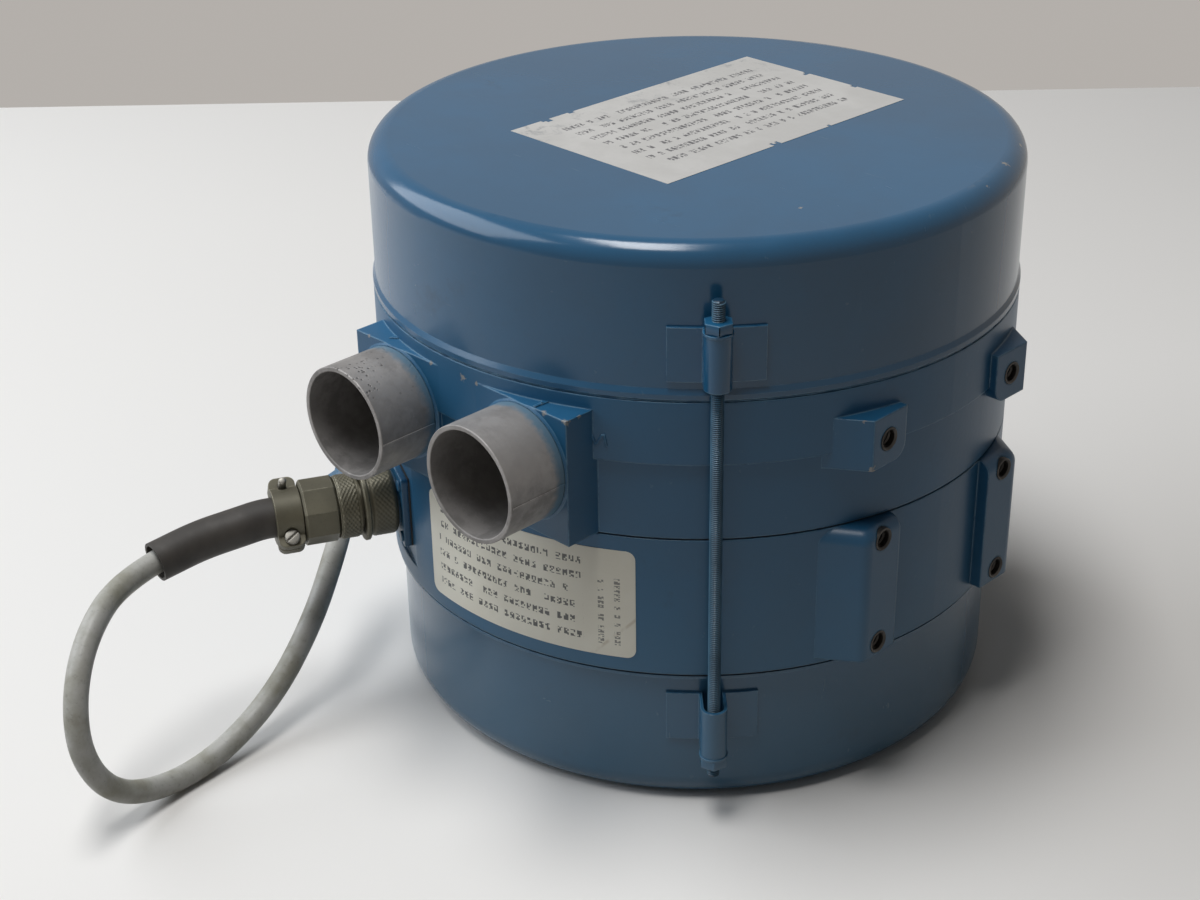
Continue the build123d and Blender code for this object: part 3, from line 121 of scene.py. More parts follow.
# Chipped and rubbed spots: x, y, z and size, in millimetres
SHEET_CHIPS = [
    (113.0, 44.0, 229.5, 1.6),
    (104.0, 68.0, 229.6, 1.1),
    (-103.0, -62.0, 228.6, 1.3),
    (88.0, -42.0, 230.6, 0.9),
    (120.5, 22.0, 228.6, 1.2),
]
CAST_CHIPS = [
    (128.0, -46.0, 143.5, 1.5),
    (125.0, -48.5, 163.0, 1.0),
    (-14.0, -127.5, 168.2, 0.9),
    (4.0, -127.4, 168.2, 1.4),
    (11.0, -127.5, 168.1, 0.8),
    (46.0, -127.5, 168.2, 1.2),
    (56.5, -127.0, 168.0, 1.5),
    (57.0, -121.0, 168.0, 0.8),
    (-50.0, -127.5, 168.1, 0.9),
]

# Colours of what shows through the finishes or lies on them
SOOT = (0.02, 0.03, 0.04)
CHIPPED_METAL = (0.25, 0.25, 0.245)
BARE_CASTING = (0.15, 0.145, 0.135)
PIT_SHADOW = (0.045, 0.043, 0.040)
JACKET_GRIME = (0.13, 0.12, 0.085)
JACKET_NICK = (0.10, 0.10, 0.09)
PAPER_DARK = (0.50, 0.49, 0.47)
PAPER_LIGHT = (0.56, 0.55, 0.53)
PAPER_RUB = (0.24, 0.25, 0.26)
PAPER_INK = (0.06, 0.06, 0.07)
FILM_DARK = (0.80, 0.77, 0.66)
FILM_LIGHT = (0.84, 0.815, 0.71)
FILM_INK = (0.03, 0.035, 0.04)
FILM_FINE_INK = (0.05, 0.055, 0.06)
FILM_CREASE = (0.42, 0.33, 0.22)
AMBIENT_COLOUR = (0.86, 0.82, 0.78)
CEILING_COLOUR = (1.0, 1.0, 1.0)
WINDOW_COLOUR = (0.95, 1.0, 1.06)

# Metals: colour, metallic, roughness, variation of tone, scale, bump height and gain of the worn edges with
# painted highlight
METALS = {
    "dull_steel": ((0.30, 0.29, 0.26), 0.9, 0.42, 0.3, 120.0, 0.02 * MM, 0.5),
    "insert_steel": ((0.060, 0.055, 0.050), 0.7, 0.45, 0.4, 200.0),
    "ground_steel": ((0.50, 0.50, 0.50), 1.0, 0.28, 0.1, 90.0, 0.005 * MM),
    "lamination_steel": ((0.20, 0.20, 0.21), 0.8, 0.5, 0.2, 150.0),
    "cast_aluminium": ((0.52, 0.52, 0.51), 0.9, 0.42, 0.15, 60.0),
    "cage_brass": ((0.55, 0.38, 0.14), 1.0, 0.35, 0.15, 90.0),
    "winding_wire": ((0.33, 0.12, 0.04), 0.5, 0.38, 0.3, 200.0, 0.10 * MM),
}

# Rubber, foam and plastic: colour, roughness and bump height
RUBBERS = {
    "black_rubber": ((0.020, 0.020, 0.020), 0.7, 0.05 * MM),
    "boot_rubber": ((0.040, 0.035, 0.030), 0.62, 0.06 * MM),
    "liner_foam": ((0.06, 0.06, 0.06), 0.95, 0.8 * MM),
    "insulator_black": ((0.03, 0.03, 0.03), 0.45, 0.01 * MM),
}

NODE_FINISHES = {
    "sheet_enamel": ("top_cover", "bottom_cover", "upper_brackets", "lower_brackets", "rod_washers"),
    "cast_enamel": (
        "blower_housing", "motor_housing", "receptacle_shell", "receptacle_screws", "gland_body",
        "gland_nut",
    ),
    "port_casting": ("outlet_tube", "inlet_tube"),
    "olive_plating": ("coupling_nut", "plug_shell", "backshell", "clamp_base", "clamp_saddle"),
    "ground_steel": (
        "motor_shaft", "impeller_key", "impeller_washer", "impeller_nut", "bearing_outer_rings",
        "bearing_inner_rings", "bearing_balls", "bearing_retainer", "retainer_screws", "end_bell_screws",
        "channel_cover_screws",
    ),
    "lamination_steel": ("stator_core", "rotor_core"),
    "cast_aluminium": ("channel_cover", "impeller", "motor_end_bell", "rotor_cage"),
    "cage_brass": ("bearing_cages", "receptacle_pins"),
    "winding_wire": ("stator_windings",),
    "black_rubber": ("bottom_gasket", "joint_gasket", "top_gasket", "receptacle_gasket", "shaft_seal"),
    "boot_rubber": ("cable_sleeve",),
    "liner_foam": ("acoustic_liner",),
    "insulator_black": ("thermal_protector", "receptacle_insert", "plug_insert"),
    "insert_steel": ("threaded_inserts",),
    "dull_steel": ("clamp_screws",),
    "cable_jacket": ("cable",),
}


class StudioSettings(bpy.types.PropertyGroup):
    floor_colour: bpy.props.FloatVectorProperty(
        name="Floor colour", description="Pale top of the table", subtype="COLOR", size=3,
        default=(0.85, 0.83, 0.80),
    )
    floor_bounce: bpy.props.FloatProperty(
        name="Floor bounce", description="Share of the floor's colour that lights the object", default=0.45,
        min=0, max=1,
    )
    table_depth: bpy.props.FloatProperty(
        name="Table depth", description="Distance from the object to the table's far edge", unit="LENGTH",
        default=0.755,
    )
    table_front: bpy.props.FloatProperty(
        name="Table front", description="Distance from the object to the table's near edge", unit="LENGTH",
        default=0.70,
    )
    table_width: bpy.props.FloatProperty(
        name="Table width", description="Width of the table", unit="LENGTH", default=2.4,
    )
    ceiling_power: bpy.props.FloatProperty(
        name="Ceiling power", description="Large light overhead", default=28.0, unit="POWER",
    )
    window_power: bpy.props.FloatProperty(
        name="Window power", description="Large soft light from the left", default=27.0, unit="POWER",
    )
    ambient: bpy.props.FloatProperty(
        name="Ambient", description="Strength of the even light around", default=0.07, min=0,
    )
    backdrop: bpy.props.FloatVectorProperty(
        name="Backdrop", description="Wall seen behind the table", subtype="COLOR", size=3,
        default=(0.455, 0.430, 0.405),
    )


class FinishSettings(bpy.types.PropertyGroup):
    enamel: bpy.props.FloatVectorProperty(
        name="Enamel", description="Blue paint of the canister", subtype="COLOR", size=3,
        default=(0.012, 0.092, 0.192),
    )
    # The rubbed colour also serves for the painted bounce light near the bottom and the painted highlights
    # on edges.
    enamel_faded_and_lit: bpy.props.FloatVectorProperty(
        name="Rubbed enamel and painted light", description="Paint where it is rubbed or worn pale, and painted bounce light and edge highlights", subtype="COLOR", size=3,
        default=(0.075, 0.165, 0.240),
    )
    olive: bpy.props.FloatVectorProperty(
        name="Olive plating", description="Connector plating", subtype="COLOR", size=3,
        default=(0.112, 0.103, 0.070),
    )
    jacket: bpy.props.FloatVectorProperty(
        name="Cable jacket", description="Light grey jacket of the cable", subtype="COLOR", size=3,
        default=(0.430, 0.425, 0.395),
    )
    casting: bpy.props.FloatVectorProperty(
        name="Port casting", description="Weathered aluminium of the port tubes", subtype="COLOR", size=3,
        default=(0.285, 0.272, 0.262),
    )


class HardwareSettings(bpy.types.PropertyGroup):
    rod_pitch: bpy.props.FloatProperty(
        name="Rod pitch", description="Thread pitch of the tie rods", default=0.794 * MM, unit="LENGTH",
    )
    rod_depth: bpy.props.FloatProperty(
        name="Rod thread depth", description="Depth of the rod thread", default=0.50 * MM, unit="LENGTH",
    )


class LabelSettings(bpy.types.PropertyGroup):
    top_size: bpy.props.FloatVectorProperty(
        name="Top label", description="Width and length of the paper label", size=2, unit="LENGTH",
        default=(84.9 * MM, 134.0 * MM),
    )
    top_centre: bpy.props.FloatVectorProperty(
        name="Top label centre", description="Centre of the paper label", size=2, unit="LENGTH",
        default=(-2.95 * MM, 12.0 * MM),
    )
    top_turn: bpy.props.FloatProperty(
        name="Top label turn", description="Turn of the paper label", subtype="ANGLE",
        default=math.radians(-1.3),
    )
    plate_angles: bpy.props.FloatVectorProperty(
        name="Plate angles", description="First and last angle of the plate round the canister, in degrees",
        size=2, default=(-101.0, -57.0),
    )
    plate_heights: bpy.props.FloatVectorProperty(
        name="Plate heights", description="Lower and upper edge of the plate", size=2, unit="LENGTH",
        default=(66.0 * MM, 111.6 * MM),
    )


SETTINGS = {
    "blower_studio": StudioSettings,
    "blower_finish": FinishSettings,
    "blower_hardware": HardwareSettings,
    "blower_labels": LabelSettings,
}


def settings(name):
    return getattr(bpy.context.scene, name)


# Shader helpers


def shade(colour, gain, lift=0.0):
    """A colour made darker or lighter by a gain, then lifted."""
    return tuple(min(1.0, part * gain + lift) for part in colour)


class Shader:
    """A node tree, with short calls to add and join nodes."""

    def __init__(self, tree):
        self.tree = tree

    def add(self, kind, **values):
        node = self.tree.nodes.new(kind)
        for key, value in values.items():
            setattr(node, key, value)
        return node

    def feed(self, socket, value):
        """Links another node's output to an input, or sets the input's value."""
        if isinstance(value, bpy.types.NodeSocket):
            self.tree.links.new(value, socket)
        else:
            socket.default_value = value

    def put(self, node, inputs):
        for key, value in inputs.items():
            self.feed(node.inputs[key], value)

    def new(self, kind, inputs, **values):
        """Adds a node with its inputs fed and returns its outputs."""
        node = self.add(kind, **values)
        self.put(node, inputs)
        return node.outputs

    def group(self, name, inputs):
        return self.new("ShaderNodeGroup", inputs, node_tree=group_tree(name))

    def math(self, operation, first, second=0.5, clamp=False):
        return self.new("ShaderNodeMath", {0: first, 1: second}, operation=operation, use_clamp=clamp)[0]

    def plus(self, first, second):
        return self.math("ADD", first, second)

    def minus(self, first, second):
        return self.math("SUBTRACT", first, second)

    def times(self, first, second):
        return self.math("MULTIPLY", first, second)

    def above(self, first, second):
        return self.math("GREATER_THAN", first, second)

    def below(self, first, second):
        return self.math("LESS_THAN", first, second)

    def squares(self, first, second):
        return self.plus(self.math("POWER", first, 2.0), self.math("POWER", second, 2.0))

    def between(self, operation, first, second):
        """A number from two vectors, such as their distance."""
        return self.new("ShaderNodeVectorMath", {0: first, 1: second}, operation=operation)["Value"]

    def axes(self, vector):
        return self.new("ShaderNodeSeparateXYZ", {0: vector})

    def stretch(self, vector, scale, rotation):
        return self.new("ShaderNodeMapping", {"Vector": vector, "Scale": scale, "Rotation": rotation})[0]

    def rounded(self, radius):
        """The normal as it would be with every edge rounded by a radius."""
        return self.new("ShaderNodeBevel", {"Radius": radius}, samples=6)[0]

    def noise(self, vector, scale, detail=2.0, roughness=0.5, distortion=0.0):
        inputs = {"Vector": vector, "Scale": scale, "Detail": detail}
        inputs.update({"Roughness": roughness, "Distortion": distortion})
        return self.new("ShaderNodeTexNoise", inputs)["Fac"]

    def chance(self, across, up):
        """One fixed random number from 0 to 1 for each whole cell."""
        column = self.math("FLOOR", across)
        row = self.math("FLOOR", up)
        cell = self.new("ShaderNodeCombineXYZ", {"X": column, "Y": row})
        return self.new("ShaderNodeTexWhiteNoise", {"Vector": cell[0]}, noise_dimensions="2D")["Value"]

    def ramp(self, value, low, high, out_low=0.0, out_high=1.0):
        """Takes a value from low to high smoothly to out_low to out_high."""
        inputs = {"Value": value, "From Min": low, "From Max": high, "To Min": out_low, "To Max": out_high}
        return self.new("ShaderNodeMapRange", inputs, interpolation_type="SMOOTHSTEP")["Result"]

    def mix(self, factor, first, second):
        first, second = ((*value, 1.0) if isinstance(value, tuple) else value for value in (first, second))
        return self.new("ShaderNodeMix", {0: factor, 6: first, 7: second}, data_type="RGBA")[2]

    def tint(self, under, colour, mask, strength):
        """Lays a colour over another where a mask is, at a strength."""
        return self.mix(self.times(mask, strength), under, colour)

    def bump(self, height, strength, distance, normal=None):
        inputs = {"Height": height, "Strength": strength, "Distance": distance}
        if normal is not None:
            inputs["Normal"] = normal
        return self.new("ShaderNodeBump", inputs)["Normal"]

    def seen_rays(self):
        """1 for the rays that show a surface: camera, glossy and transmission rays."""
        path = self.new("ShaderNodeLightPath", {})
        rays = self.math("MAXIMUM", path["Is Camera Ray"], path["Is Glossy Ray"])
        return self.math("MAXIMUM", rays, path["Is Transmission Ray"])


# Node groups that several materials share


def build_grime(shader, given, out):
    """Broad patches, fine specks and thin scuffs on object coordinates."""
    place = given["Vector"]
    long_way = shader.stretch(place, (1.0, 6.0, 1.6), (0.3, 0.2, 0.7))
    patches = shader.noise(place, given["Patch Scale"], 4.0, 0.6)
    specks = shader.noise(place, given["Speck Scale"], 3.0, 0.6)
    scuffs = shader.noise(long_way, given["Scuff Scale"], 5.0, 0.75, 0.4)
    shader.feed(out["Patches"], shader.ramp(patches, 0.35, 0.7))
    shader.feed(out["Specks"], shader.ramp(specks, 0.55, 0.72))
    shader.feed(out["Scuffs"], shader.ramp(scuffs, 0.62, 0.76))


def build_worn_edges_and_highlights(shader, given, out):
    """A mask on sharp edges, for rubbed paint and for painted highlights: where the rounded normal leaves
    the plain one, broken by noise.
    """
    rounded = shader.rounded(given["Width"])
    plain = shader.new("ShaderNodeNewGeometry", {})["Normal"]
    sharp = shader.math("SUBTRACT", 1.0, shader.between("DOT_PRODUCT", rounded, plain), clamp=True)
    broken = shader.noise(given["Vector"], given["Break Scale"], 4.0, 0.7)
    level = shader.times(shader.times(sharp, given["Amount"]), shader.ramp(broken, 0.35, 0.65))
    shader.feed(out["Wear And Highlight"], shader.ramp(level, 0.02, 0.12))
    shader.feed(out["Normal"], rounded)


def build_chip(shader, given, out):
    """A ragged spot round one place."""
    apart = shader.between("DISTANCE", given["Vector"], given["Place"])
    ragged = shader.noise(given["Vector"], 900.0, 3.0, 0.7)
    reach = shader.times(given["Size"], shader.ramp(ragged, 0.3, 0.7, 0.3, 1.5))
    shader.feed(out["Mask"], shader.below(apart, reach))


def build_marks(shader, given, out):
    """Even rows across one coordinate between two limits of the other, broken into short marks."""
    along = given["Along"]
    steps = shader.math("DIVIDE", shader.minus(given["Across"], given["First"]), given["Pitch"])
    off_middle = shader.math("ABSOLUTE", shader.minus(shader.math("FRACT", steps), 0.5))
    rows = shader.times(shader.above(steps, 0.0), shader.below(steps, given["Count"]))
    span = shader.times(shader.above(along, given["Left"]), shader.below(along, given["Right"]))
    inside = shader.times(rows, span)
    line = shader.above(given["Weight"], off_middle)
    cells = shader.math("DIVIDE", along, given["Mark"])
    mark = shader.below(shader.math("FRACT", cells), 0.72)
    mark = shader.times(mark, shader.above(shader.chance(cells, steps), 0.2))
    strokes = shader.chance(shader.times(cells, 4.0), shader.times(steps, 9.0))
    mark = shader.times(mark, shader.above(strokes, 0.36))
    shader.feed(out["Ink"], shader.times(shader.times(line, inside), mark))


MARK_INPUTS = ("Across", "Along", "First", "Pitch", "Count", "Left", "Right", "Weight", "Mark")

# Inputs with their defaults, outputs, and what builds each group; None stands for a vector
GROUPS = {
    "surface grime": (
        {"Vector": None, "Patch Scale": 14.0, "Speck Scale": 600.0, "Scuff Scale": 45.0},
        {"Patches": 0.0, "Specks": 0.0, "Scuffs": 0.0},
        build_grime,
    ),
    "worn edges and highlights": (
        {"Vector": None, "Width": 0.5 * MM, "Amount": 1.0, "Break Scale": 220.0},
        {"Wear And Highlight": 0.0, "Normal": None},
        build_worn_edges_and_highlights,
    ),
    "paint chip": ({"Vector": None, "Place": None, "Size": 1.0 * MM}, {"Mask": 0.0}, build_chip),
    "rows of marks": (dict.fromkeys(MARK_INPUTS, 0.0), {"Ink": 0.0}, build_marks),
}


def group_tree(name):
    """The named node group, built when it is first asked for."""
    if name in bpy.data.node_groups:
        return bpy.data.node_groups[name]
    inputs, outputs, build = GROUPS[name]
    tree = bpy.data.node_groups.new(name, "ShaderNodeTree")
    for way, sockets in (("INPUT", inputs), ("OUTPUT", outputs)):
        for socket, default in sockets.items():
            kind = "NodeSocketVector" if default is None else "NodeSocketFloat"
            made = tree.interface.new_socket(name=socket, in_out=way, socket_type=kind)
            if default is not None:
                made.default_value = default
    shader = Shader(tree)
    entry = shader.add("NodeGroupInput")
    leave = shader.add("NodeGroupOutput")
    build(shader, entry.outputs, leave.inputs)
    return tree


def grime(shader, vector, patch, speck, scuff):
    inputs = {"Vector": vector, "Patch Scale": patch, "Speck Scale": speck, "Scuff Scale": scuff}
    return shader.group("surface grime", inputs)


def worn_edges_and_highlights(shader, vector, width, amount, breaks):
    inputs = {"Vector": vector, "Width": width, "Amount": amount, "Break Scale": breaks}
    return shader.group("worn edges and highlights", inputs)


def chips(shader, vector, places):
    """One mask for all the chips: each place is x, y, z and size in millimetres."""
    mask = None
    for *place, size in places:
        inputs = {"Vector": vector, "Place": tuple(part * MM for part in place), "Size": size * MM}
        chip = shader.group("paint chip", inputs)["Mask"]
        mask = chip if mask is None else shader.math("MAXIMUM", mask, chip)
    return mask


def marks(shader, **values):
    """The ink of one block of rows; the values are the group's inputs."""
    return shader.group("rows of marks", {name.capitalize(): value for name, value in values.items()})["Ink"]


def off_port_axis(shader, x, z):
    """The square of the distance from the nearer port's axis."""
    aside = shader.minus(shader.math("ABSOLUTE", x), PORT_X)
    return shader.squares(aside, shader.minus(z, PORT_HEIGHT))


# Materials


def new_material(name):
    """An empty material with its shader, its Principled surface and its object coordinates."""
    material = bpy.data.materials.new(name)
    material.use_nodes = True
    shader = Shader(material.node_tree)
    surface = material.node_tree.nodes["Principled BSDF"]
    return material, shader, surface, shader.new("ShaderNodeTexCoord", {})["Object"]


def enamel_material(
    name, texture_scale, texture_height, gloss, softness, worn_places, coat=0.0, bare_bores=False
):
    """Blue enamel: patchy tone, orange peel or cast texture, scuffs, chips, edges rubbed pale with painted
    highlight, and painted bounce light that lightens it towards the bottom.
    """
    look = settings("blower_finish")
    base = tuple(look.enamel)
    faded_and_lit = tuple(look.enamel_faded_and_lit)
    material, shader, surface, place = new_material(name)
    x, y, z = shader.axes(place)
    dirt = grime(shader, place, 11.0, 420.0, 38.0)
    edge = worn_edges_and_highlights(shader, place, 0.7 * MM, 2.6, 120.0)
    colour = shader.mix(dirt["Patches"], shade(base, 0.95), shade(base, 1.12))
    colour = shader.tint(colour, faded_and_lit, dirt["Scuffs"], 0.14)
    # Sharp edges lightened: rubbed paint together with a painted highlight.
    colour = shader.tint(colour, shade(faded_and_lit, 2.0), edge["Wear And Highlight"], 0.6)
    colour = shader.tint(colour, SOOT, dirt["Specks"], 0.05)
    smudge = shader.ramp(shader.noise(place, 21.0, 6.0, 0.72), 0.60, 0.76)
    colour = shader.tint(colour, shade(base, 0.55), smudge, 0.5)
    scratch = shader.stretch(place, (1.0, 14.0, 9.0), (0.4, 1.1, 0.5))
    hairline = shader.ramp(shader.noise(scratch, 26.0, 3.0, 0.6), 0.70, 0.74)
    colour = shader.tint(colour, faded_and_lit, hairline, 0.35)
    # Painted bounce light: the enamel is lightened towards the bottom, where light from the floor would fall
    # on it.
    low = shader.ramp(z, 130.0 * MM, 5.0 * MM)
    colour = shader.tint(colour, faded_and_lit, low, 0.45)
    chip = chips(shader, place, worn_places)
    colour = shader.mix(chip, colour, CHIPPED_METAL)
    if bare_bores:
        in_bore = shader.below(off_port_axis(shader, x, z), (PORT_RADIUS - 0.2 * MM) ** 2)
        in_front = shader.below(y, -60.0 * MM)
        within = shader.below(shader.squares(x, y), (CASTING_RADIUS - 10.0 * MM) ** 2)
        bare = shader.math("MAXIMUM", shader.times(in_bore, in_front), within)
        colour = shader.mix(bare, colour, BARE_CASTING)
    peel = shader.noise(place, texture_scale, 3.0, 0.55)
    wave = shader.noise(place, texture_scale / 9.0, 2.0, 0.5)
    height = shader.plus(peel, shader.times(wave, 1.5))
    height = shader.minus(height, shader.times(chip, 2.0))
    roughness = shader.ramp(dirt["Patches"], 0.0, 1.0, gloss, gloss + 0.08)
    shader.put(surface, {
        "Base Color": colour,
        "Roughness": shader.plus(roughness, shader.times(dirt["Scuffs"], 0.08)),
        "Normal": shader.bump(height, 0.35, texture_height, shader.rounded(softness)),
        "Coat Weight": coat,
        "Coat Roughness": 0.13,
    })
    return material


def thread_material():
    """Painted thread: painted shade darkens its valleys, and its crests are rubbed pale with a painted
    highlight.
    """
    look = settings("blower_finish")
    material, shader, surface, place = new_material("thread_enamel_painted_light")
    crest = shader.add("ShaderNodeAttribute", attribute_name="crest").outputs["Fac"]
    dirt = grime(shader, place, 40.0, 500.0, 90.0)
    ridge = shader.mix(dirt["Patches"], tuple(look.enamel_faded_and_lit), shade(look.enamel_faded_and_lit, 1.9, 0.02))
    # Painted shade in the valleys, blending to the crest colour, which is rubbed paint with a painted
    # highlight.
    height = shader.ramp(crest, 0.15, 0.85)
    shader.put(surface, {
        "Base Color": shader.mix(height, shade(look.enamel, 0.35), ridge),
        "Roughness": shader.ramp(dirt["Patches"], 0.0, 1.0, 0.4, 0.3),
        "Normal": shader.bump(shader.noise(place, 900.0, 2.0), 0.3, 0.03 * MM),
    })
    return material


def metal_material(name, colour, metallic, roughness, variation, scale, bump=0.04 * MM, worn_edge_and_highlight_gain=0.0):
    """Bare or plated metal with patchy tone, fine grain and, with an edge gain, edges lightened for wear and
    painted highlight.
    """
    material, shader, surface, place = new_material(name)
    dirt = grime(shader, place, scale / 3, scale * 12, scale)
    tone = shader.mix(dirt["Patches"], shade(colour, 1 - variation), shade(colour, 1 + variation))
    tone = shader.tint(tone, shade(colour, 0.5), dirt["Specks"], 0.35)
    normal = None
    if worn_edge_and_highlight_gain:
        edge = worn_edges_and_highlights(shader, place, 0.6 * MM, 2.2, 260.0)
        # Edges lightened for wear and a painted highlight.
        tone = shader.tint(tone, shade(colour, 2.4, 0.06), edge["Wear And Highlight"], worn_edge_and_highlight_gain)
        normal = edge["Normal"]
    shader.put(surface, {
        "Base Color": tone,
        "Roughness": shader.ramp(dirt["Patches"], 0.0, 1.0, roughness + 0.06, roughness - 0.05),
        "Normal": shader.bump(shader.noise(place, scale * 18, 2.0, 0.5), 0.4, bump, normal),
        "Metallic": metallic,
    })
    return material


def casting_material():
    """Port tubes: mottled grey casting with dark pits, pale streaks, paint feathered on at the root, and
    edges lightened for wear and painted highlight.
    """
    look = settings("blower_finish")
    base = tuple(look.casting)
    material, shader, surface, place = new_material("port_casting")
    x, y, z = shader.axes(place)
    dirt = grime(shader, place, 34.0, 900.0, 110.0)
    tone = shader.mix(dirt["Patches"], shade(base, 0.72), shade(base, 1.18))
    mottle = shader.ramp(shader.noise(place, 130.0, 4.0, 0.65), 0.42, 0.62)
    tone = shader.tint(tone, shade(base, 1.35), mottle, 0.45)
    tone = shader.tint(tone, shade(base, 1.9), dirt["Scuffs"], 0.4)
    cells = shader.new("ShaderNodeTexVoronoi", {"Vector": place, "Scale": 560.0}, feature="F1")
    sparse = shader.ramp(shader.noise(place, 75.0, 2.0), 0.48, 0.56)
    on_top = shader.ramp(z, PORT_HEIGHT + 10.0 * MM, PORT_HEIGHT + 18.0 * MM)
    pits = shader.times(shader.ramp(cells["Distance"], 0.34, 0.16), shader.times(sparse, on_top))
    pits = shader.times(pits, shader.below(x, 0.0))
    tone = shader.tint(tone, PIT_SHADOW, pits, 0.75)
    edge = worn_edges_and_highlights(shader, place, 0.5 * MM, 2.0, 200.0)
    # Edges lightened for wear and a painted highlight.
    tone = shader.tint(tone, shade(base, 2.3), edge["Wear And Highlight"], 0.55)
    ragged = shader.times(shader.noise(place, 90.0, 4.0, 0.75), 9.0 * MM)
    root = BLOCK_FRONT + 1.0 * MM
    near_root = shader.ramp(shader.plus(y, ragged), root - 3.2 * MM, root + 1.2 * MM)
    outside = shader.above(off_port_axis(shader, x, z), (PORT_RADIUS - 0.9 * MM) ** 2)
    paint = shader.times(outside, near_root)
    tone = shader.tint(tone, tuple(look.enamel_faded_and_lit), paint, 0.9)
    height = shader.minus(shader.noise(place, 700.0, 3.0, 0.6), shader.times(pits, 2.5))
    shader.put(surface, {
        "Base Color": tone,
        "Roughness": shader.ramp(dirt["Patches"], 0.0, 1.0, 0.60, 0.48),
        "Normal": shader.bump(height, 0.5, 0.10 * MM),
        "Metallic": shader.minus(0.45, shader.times(paint, 0.45)),
    })
    return material


def rubber_material(name, colour, roughness, bump):
    """Dull rubber, foam or moulded plastic with pale scuffs."""
    material, shader, surface, place = new_material(name)
    dirt = grime(shader, place, 45.0, 1200.0, 160.0)
    tone = shader.mix(dirt["Patches"], shade(colour, 0.75), shade(colour, 1.3))
    shader.put(surface, {
        "Base Color": shader.tint(tone, shade(colour, 2.2, 0.01), dirt["Scuffs"], 0.5),
        "Roughness": shader.ramp(dirt["Patches"], 0.0, 1.0, roughness, roughness - 0.1),
        "Normal": shader.bump(shader.noise(place, 900.0, 3.0, 0.6), 0.5, bump),
    })
    return material


def jacket_material():
    """Light grey jacket, with brownish grime in patches and a few dark nicks."""
    base = tuple(settings("blower_finish").jacket)
    material, shader, surface, place = new_material("cable_jacket")
    dirt = grime(shader, place, 60.0, 700.0, 120.0)
    tone = shader.mix(dirt["Patches"], base, (base[0] * 0.62, base[1] * 0.61, base[2] * 0.53))
    tone = shader.tint(tone, JACKET_GRIME, dirt["Scuffs"], 0.6)
    shader.put(surface, {
        "Base Color": shader.tint(tone, JACKET_NICK, dirt["Specks"], 0.25),
        "Roughness": shader.ramp(dirt["Patches"], 0.0, 1.0, 0.42, 0.55),
        "Normal": shader.bump(shader.noise(place, 500.0, 3.0), 0.3, 0.05 * MM),
    })
    return material


def paper_material():
    """Off-white paper with rows of short marks, rubbed grey towards one side."""
    look = settings("blower_labels")
    material, shader, surface, place = new_material("label_paper")
    centring = {"Vector": place, "Location": (*look.top_centre, 0.0), "Rotation": (0.0, 0.0, look.top_turn)}
    x, y = shader.axes(shader.new("ShaderNodeMapping", centring, vector_type="TEXTURE")[0])[:2]
    dirt = grime(shader, place, 40.0, 900.0, 150.0)
    tone = shader.mix(dirt["Patches"], PAPER_DARK, PAPER_LIGHT)
    ink = marks(
        shader, across=x, along=y, first=-32.0 * MM, pitch=7.6 * MM, count=8.0, left=-52.0 * MM,
        right=54.0 * MM, weight=0.22, mark=2.3 * MM,
    )
    tone = shader.tint(tone, PAPER_INK, ink, 0.85)
    rub = shader.ramp(shader.noise(place, 110.0, 6.0, 0.8, 0.6), 0.52, 0.66)
    rub = shader.times(rub, shader.ramp(x, -12.0 * MM, -40.0 * MM))
    shader.put(surface, {
        "Base Color": shader.tint(tone, PAPER_RUB, rub, 0.65),
        "Roughness": shader.ramp(dirt["Patches"], 0.0, 1.0, 0.55, 0.48),
        "Normal": shader.bump(shader.noise(place, 700.0, 3.0), 0.2, 0.03 * MM),
    })
    return material


def plate_material():
    """Cream film with rows of short marks, a small block of them at its end and a slanting crease."""
    look = settings("blower_labels")
    lower, upper = look.plate_heights
    first, last = (math.radians(angle) for angle in look.plate_angles)
    material, shader, surface, place = new_material("label_film")
    x, y, z = shader.axes(place)
    angle = shader.math("ARCTAN2", y, x)
    dirt = grime(shader, place, 50.0, 900.0, 150.0)
    tone = shader.mix(dirt["Patches"], FILM_DARK, FILM_LIGHT)
    ink = marks(
        shader, across=z, along=angle, first=lower + 4.0 * MM, pitch=6.4 * MM, count=6.0,
        left=first + 0.05, right=last - 0.16, weight=0.22, mark=0.021,
    )
    tone = shader.tint(tone, FILM_INK, ink, 0.9)
    end_ink = marks(
        shader, across=angle, along=z, first=last - 0.13, pitch=0.05, count=2.0,
        left=lower + 5.0 * MM, right=upper - 12.0 * MM, weight=0.18, mark=1.8 * MM,
    )
    tone = shader.tint(tone, FILM_FINE_INK, end_ink, 0.75)
    slant = CASTING_RADIUS
    slope = shader.minus(z, shader.times(angle, slant))
    fold = shader.math("ABSOLUTE", shader.minus(slope, lower + 17.0 * MM - slant * last))
    ragged = shader.ramp(shader.noise(place, 240.0, 3.0), 0.35, 0.6)
    crease = shader.times(shader.ramp(fold, 1.4 * MM, 0.2 * MM), ragged)
    shader.put(surface, {
        "Base Color": shader.tint(tone, FILM_CREASE, crease, 0.4),
        "Roughness": shader.ramp(dirt["Patches"], 0.0, 1.0, 0.34, 0.42),
        "Normal": shader.bump(crease, 0.4, 0.15 * MM),
    })
    return material


def floor_material():
    """Pale matt table. Rays that light the object see only a share of its colour, the floor bounce."""
    look = settings("blower_studio")
    material, shader, surface, place = new_material("studio_floor")
    colour = tuple(look.floor_colour)
    tone = shader.mix(shader.noise(place, 1.6, 2.0), shade(colour, 0.97), shade(colour, 1.02))
    tone = shader.mix(shader.seen_rays(), shade(colour, look.floor_bounce), tone)
    shader.put(surface, {"Base Color": tone, "Roughness": 0.62})
    return material


MATERIALS = {}


def finish(name):
    return MATERIALS[name]


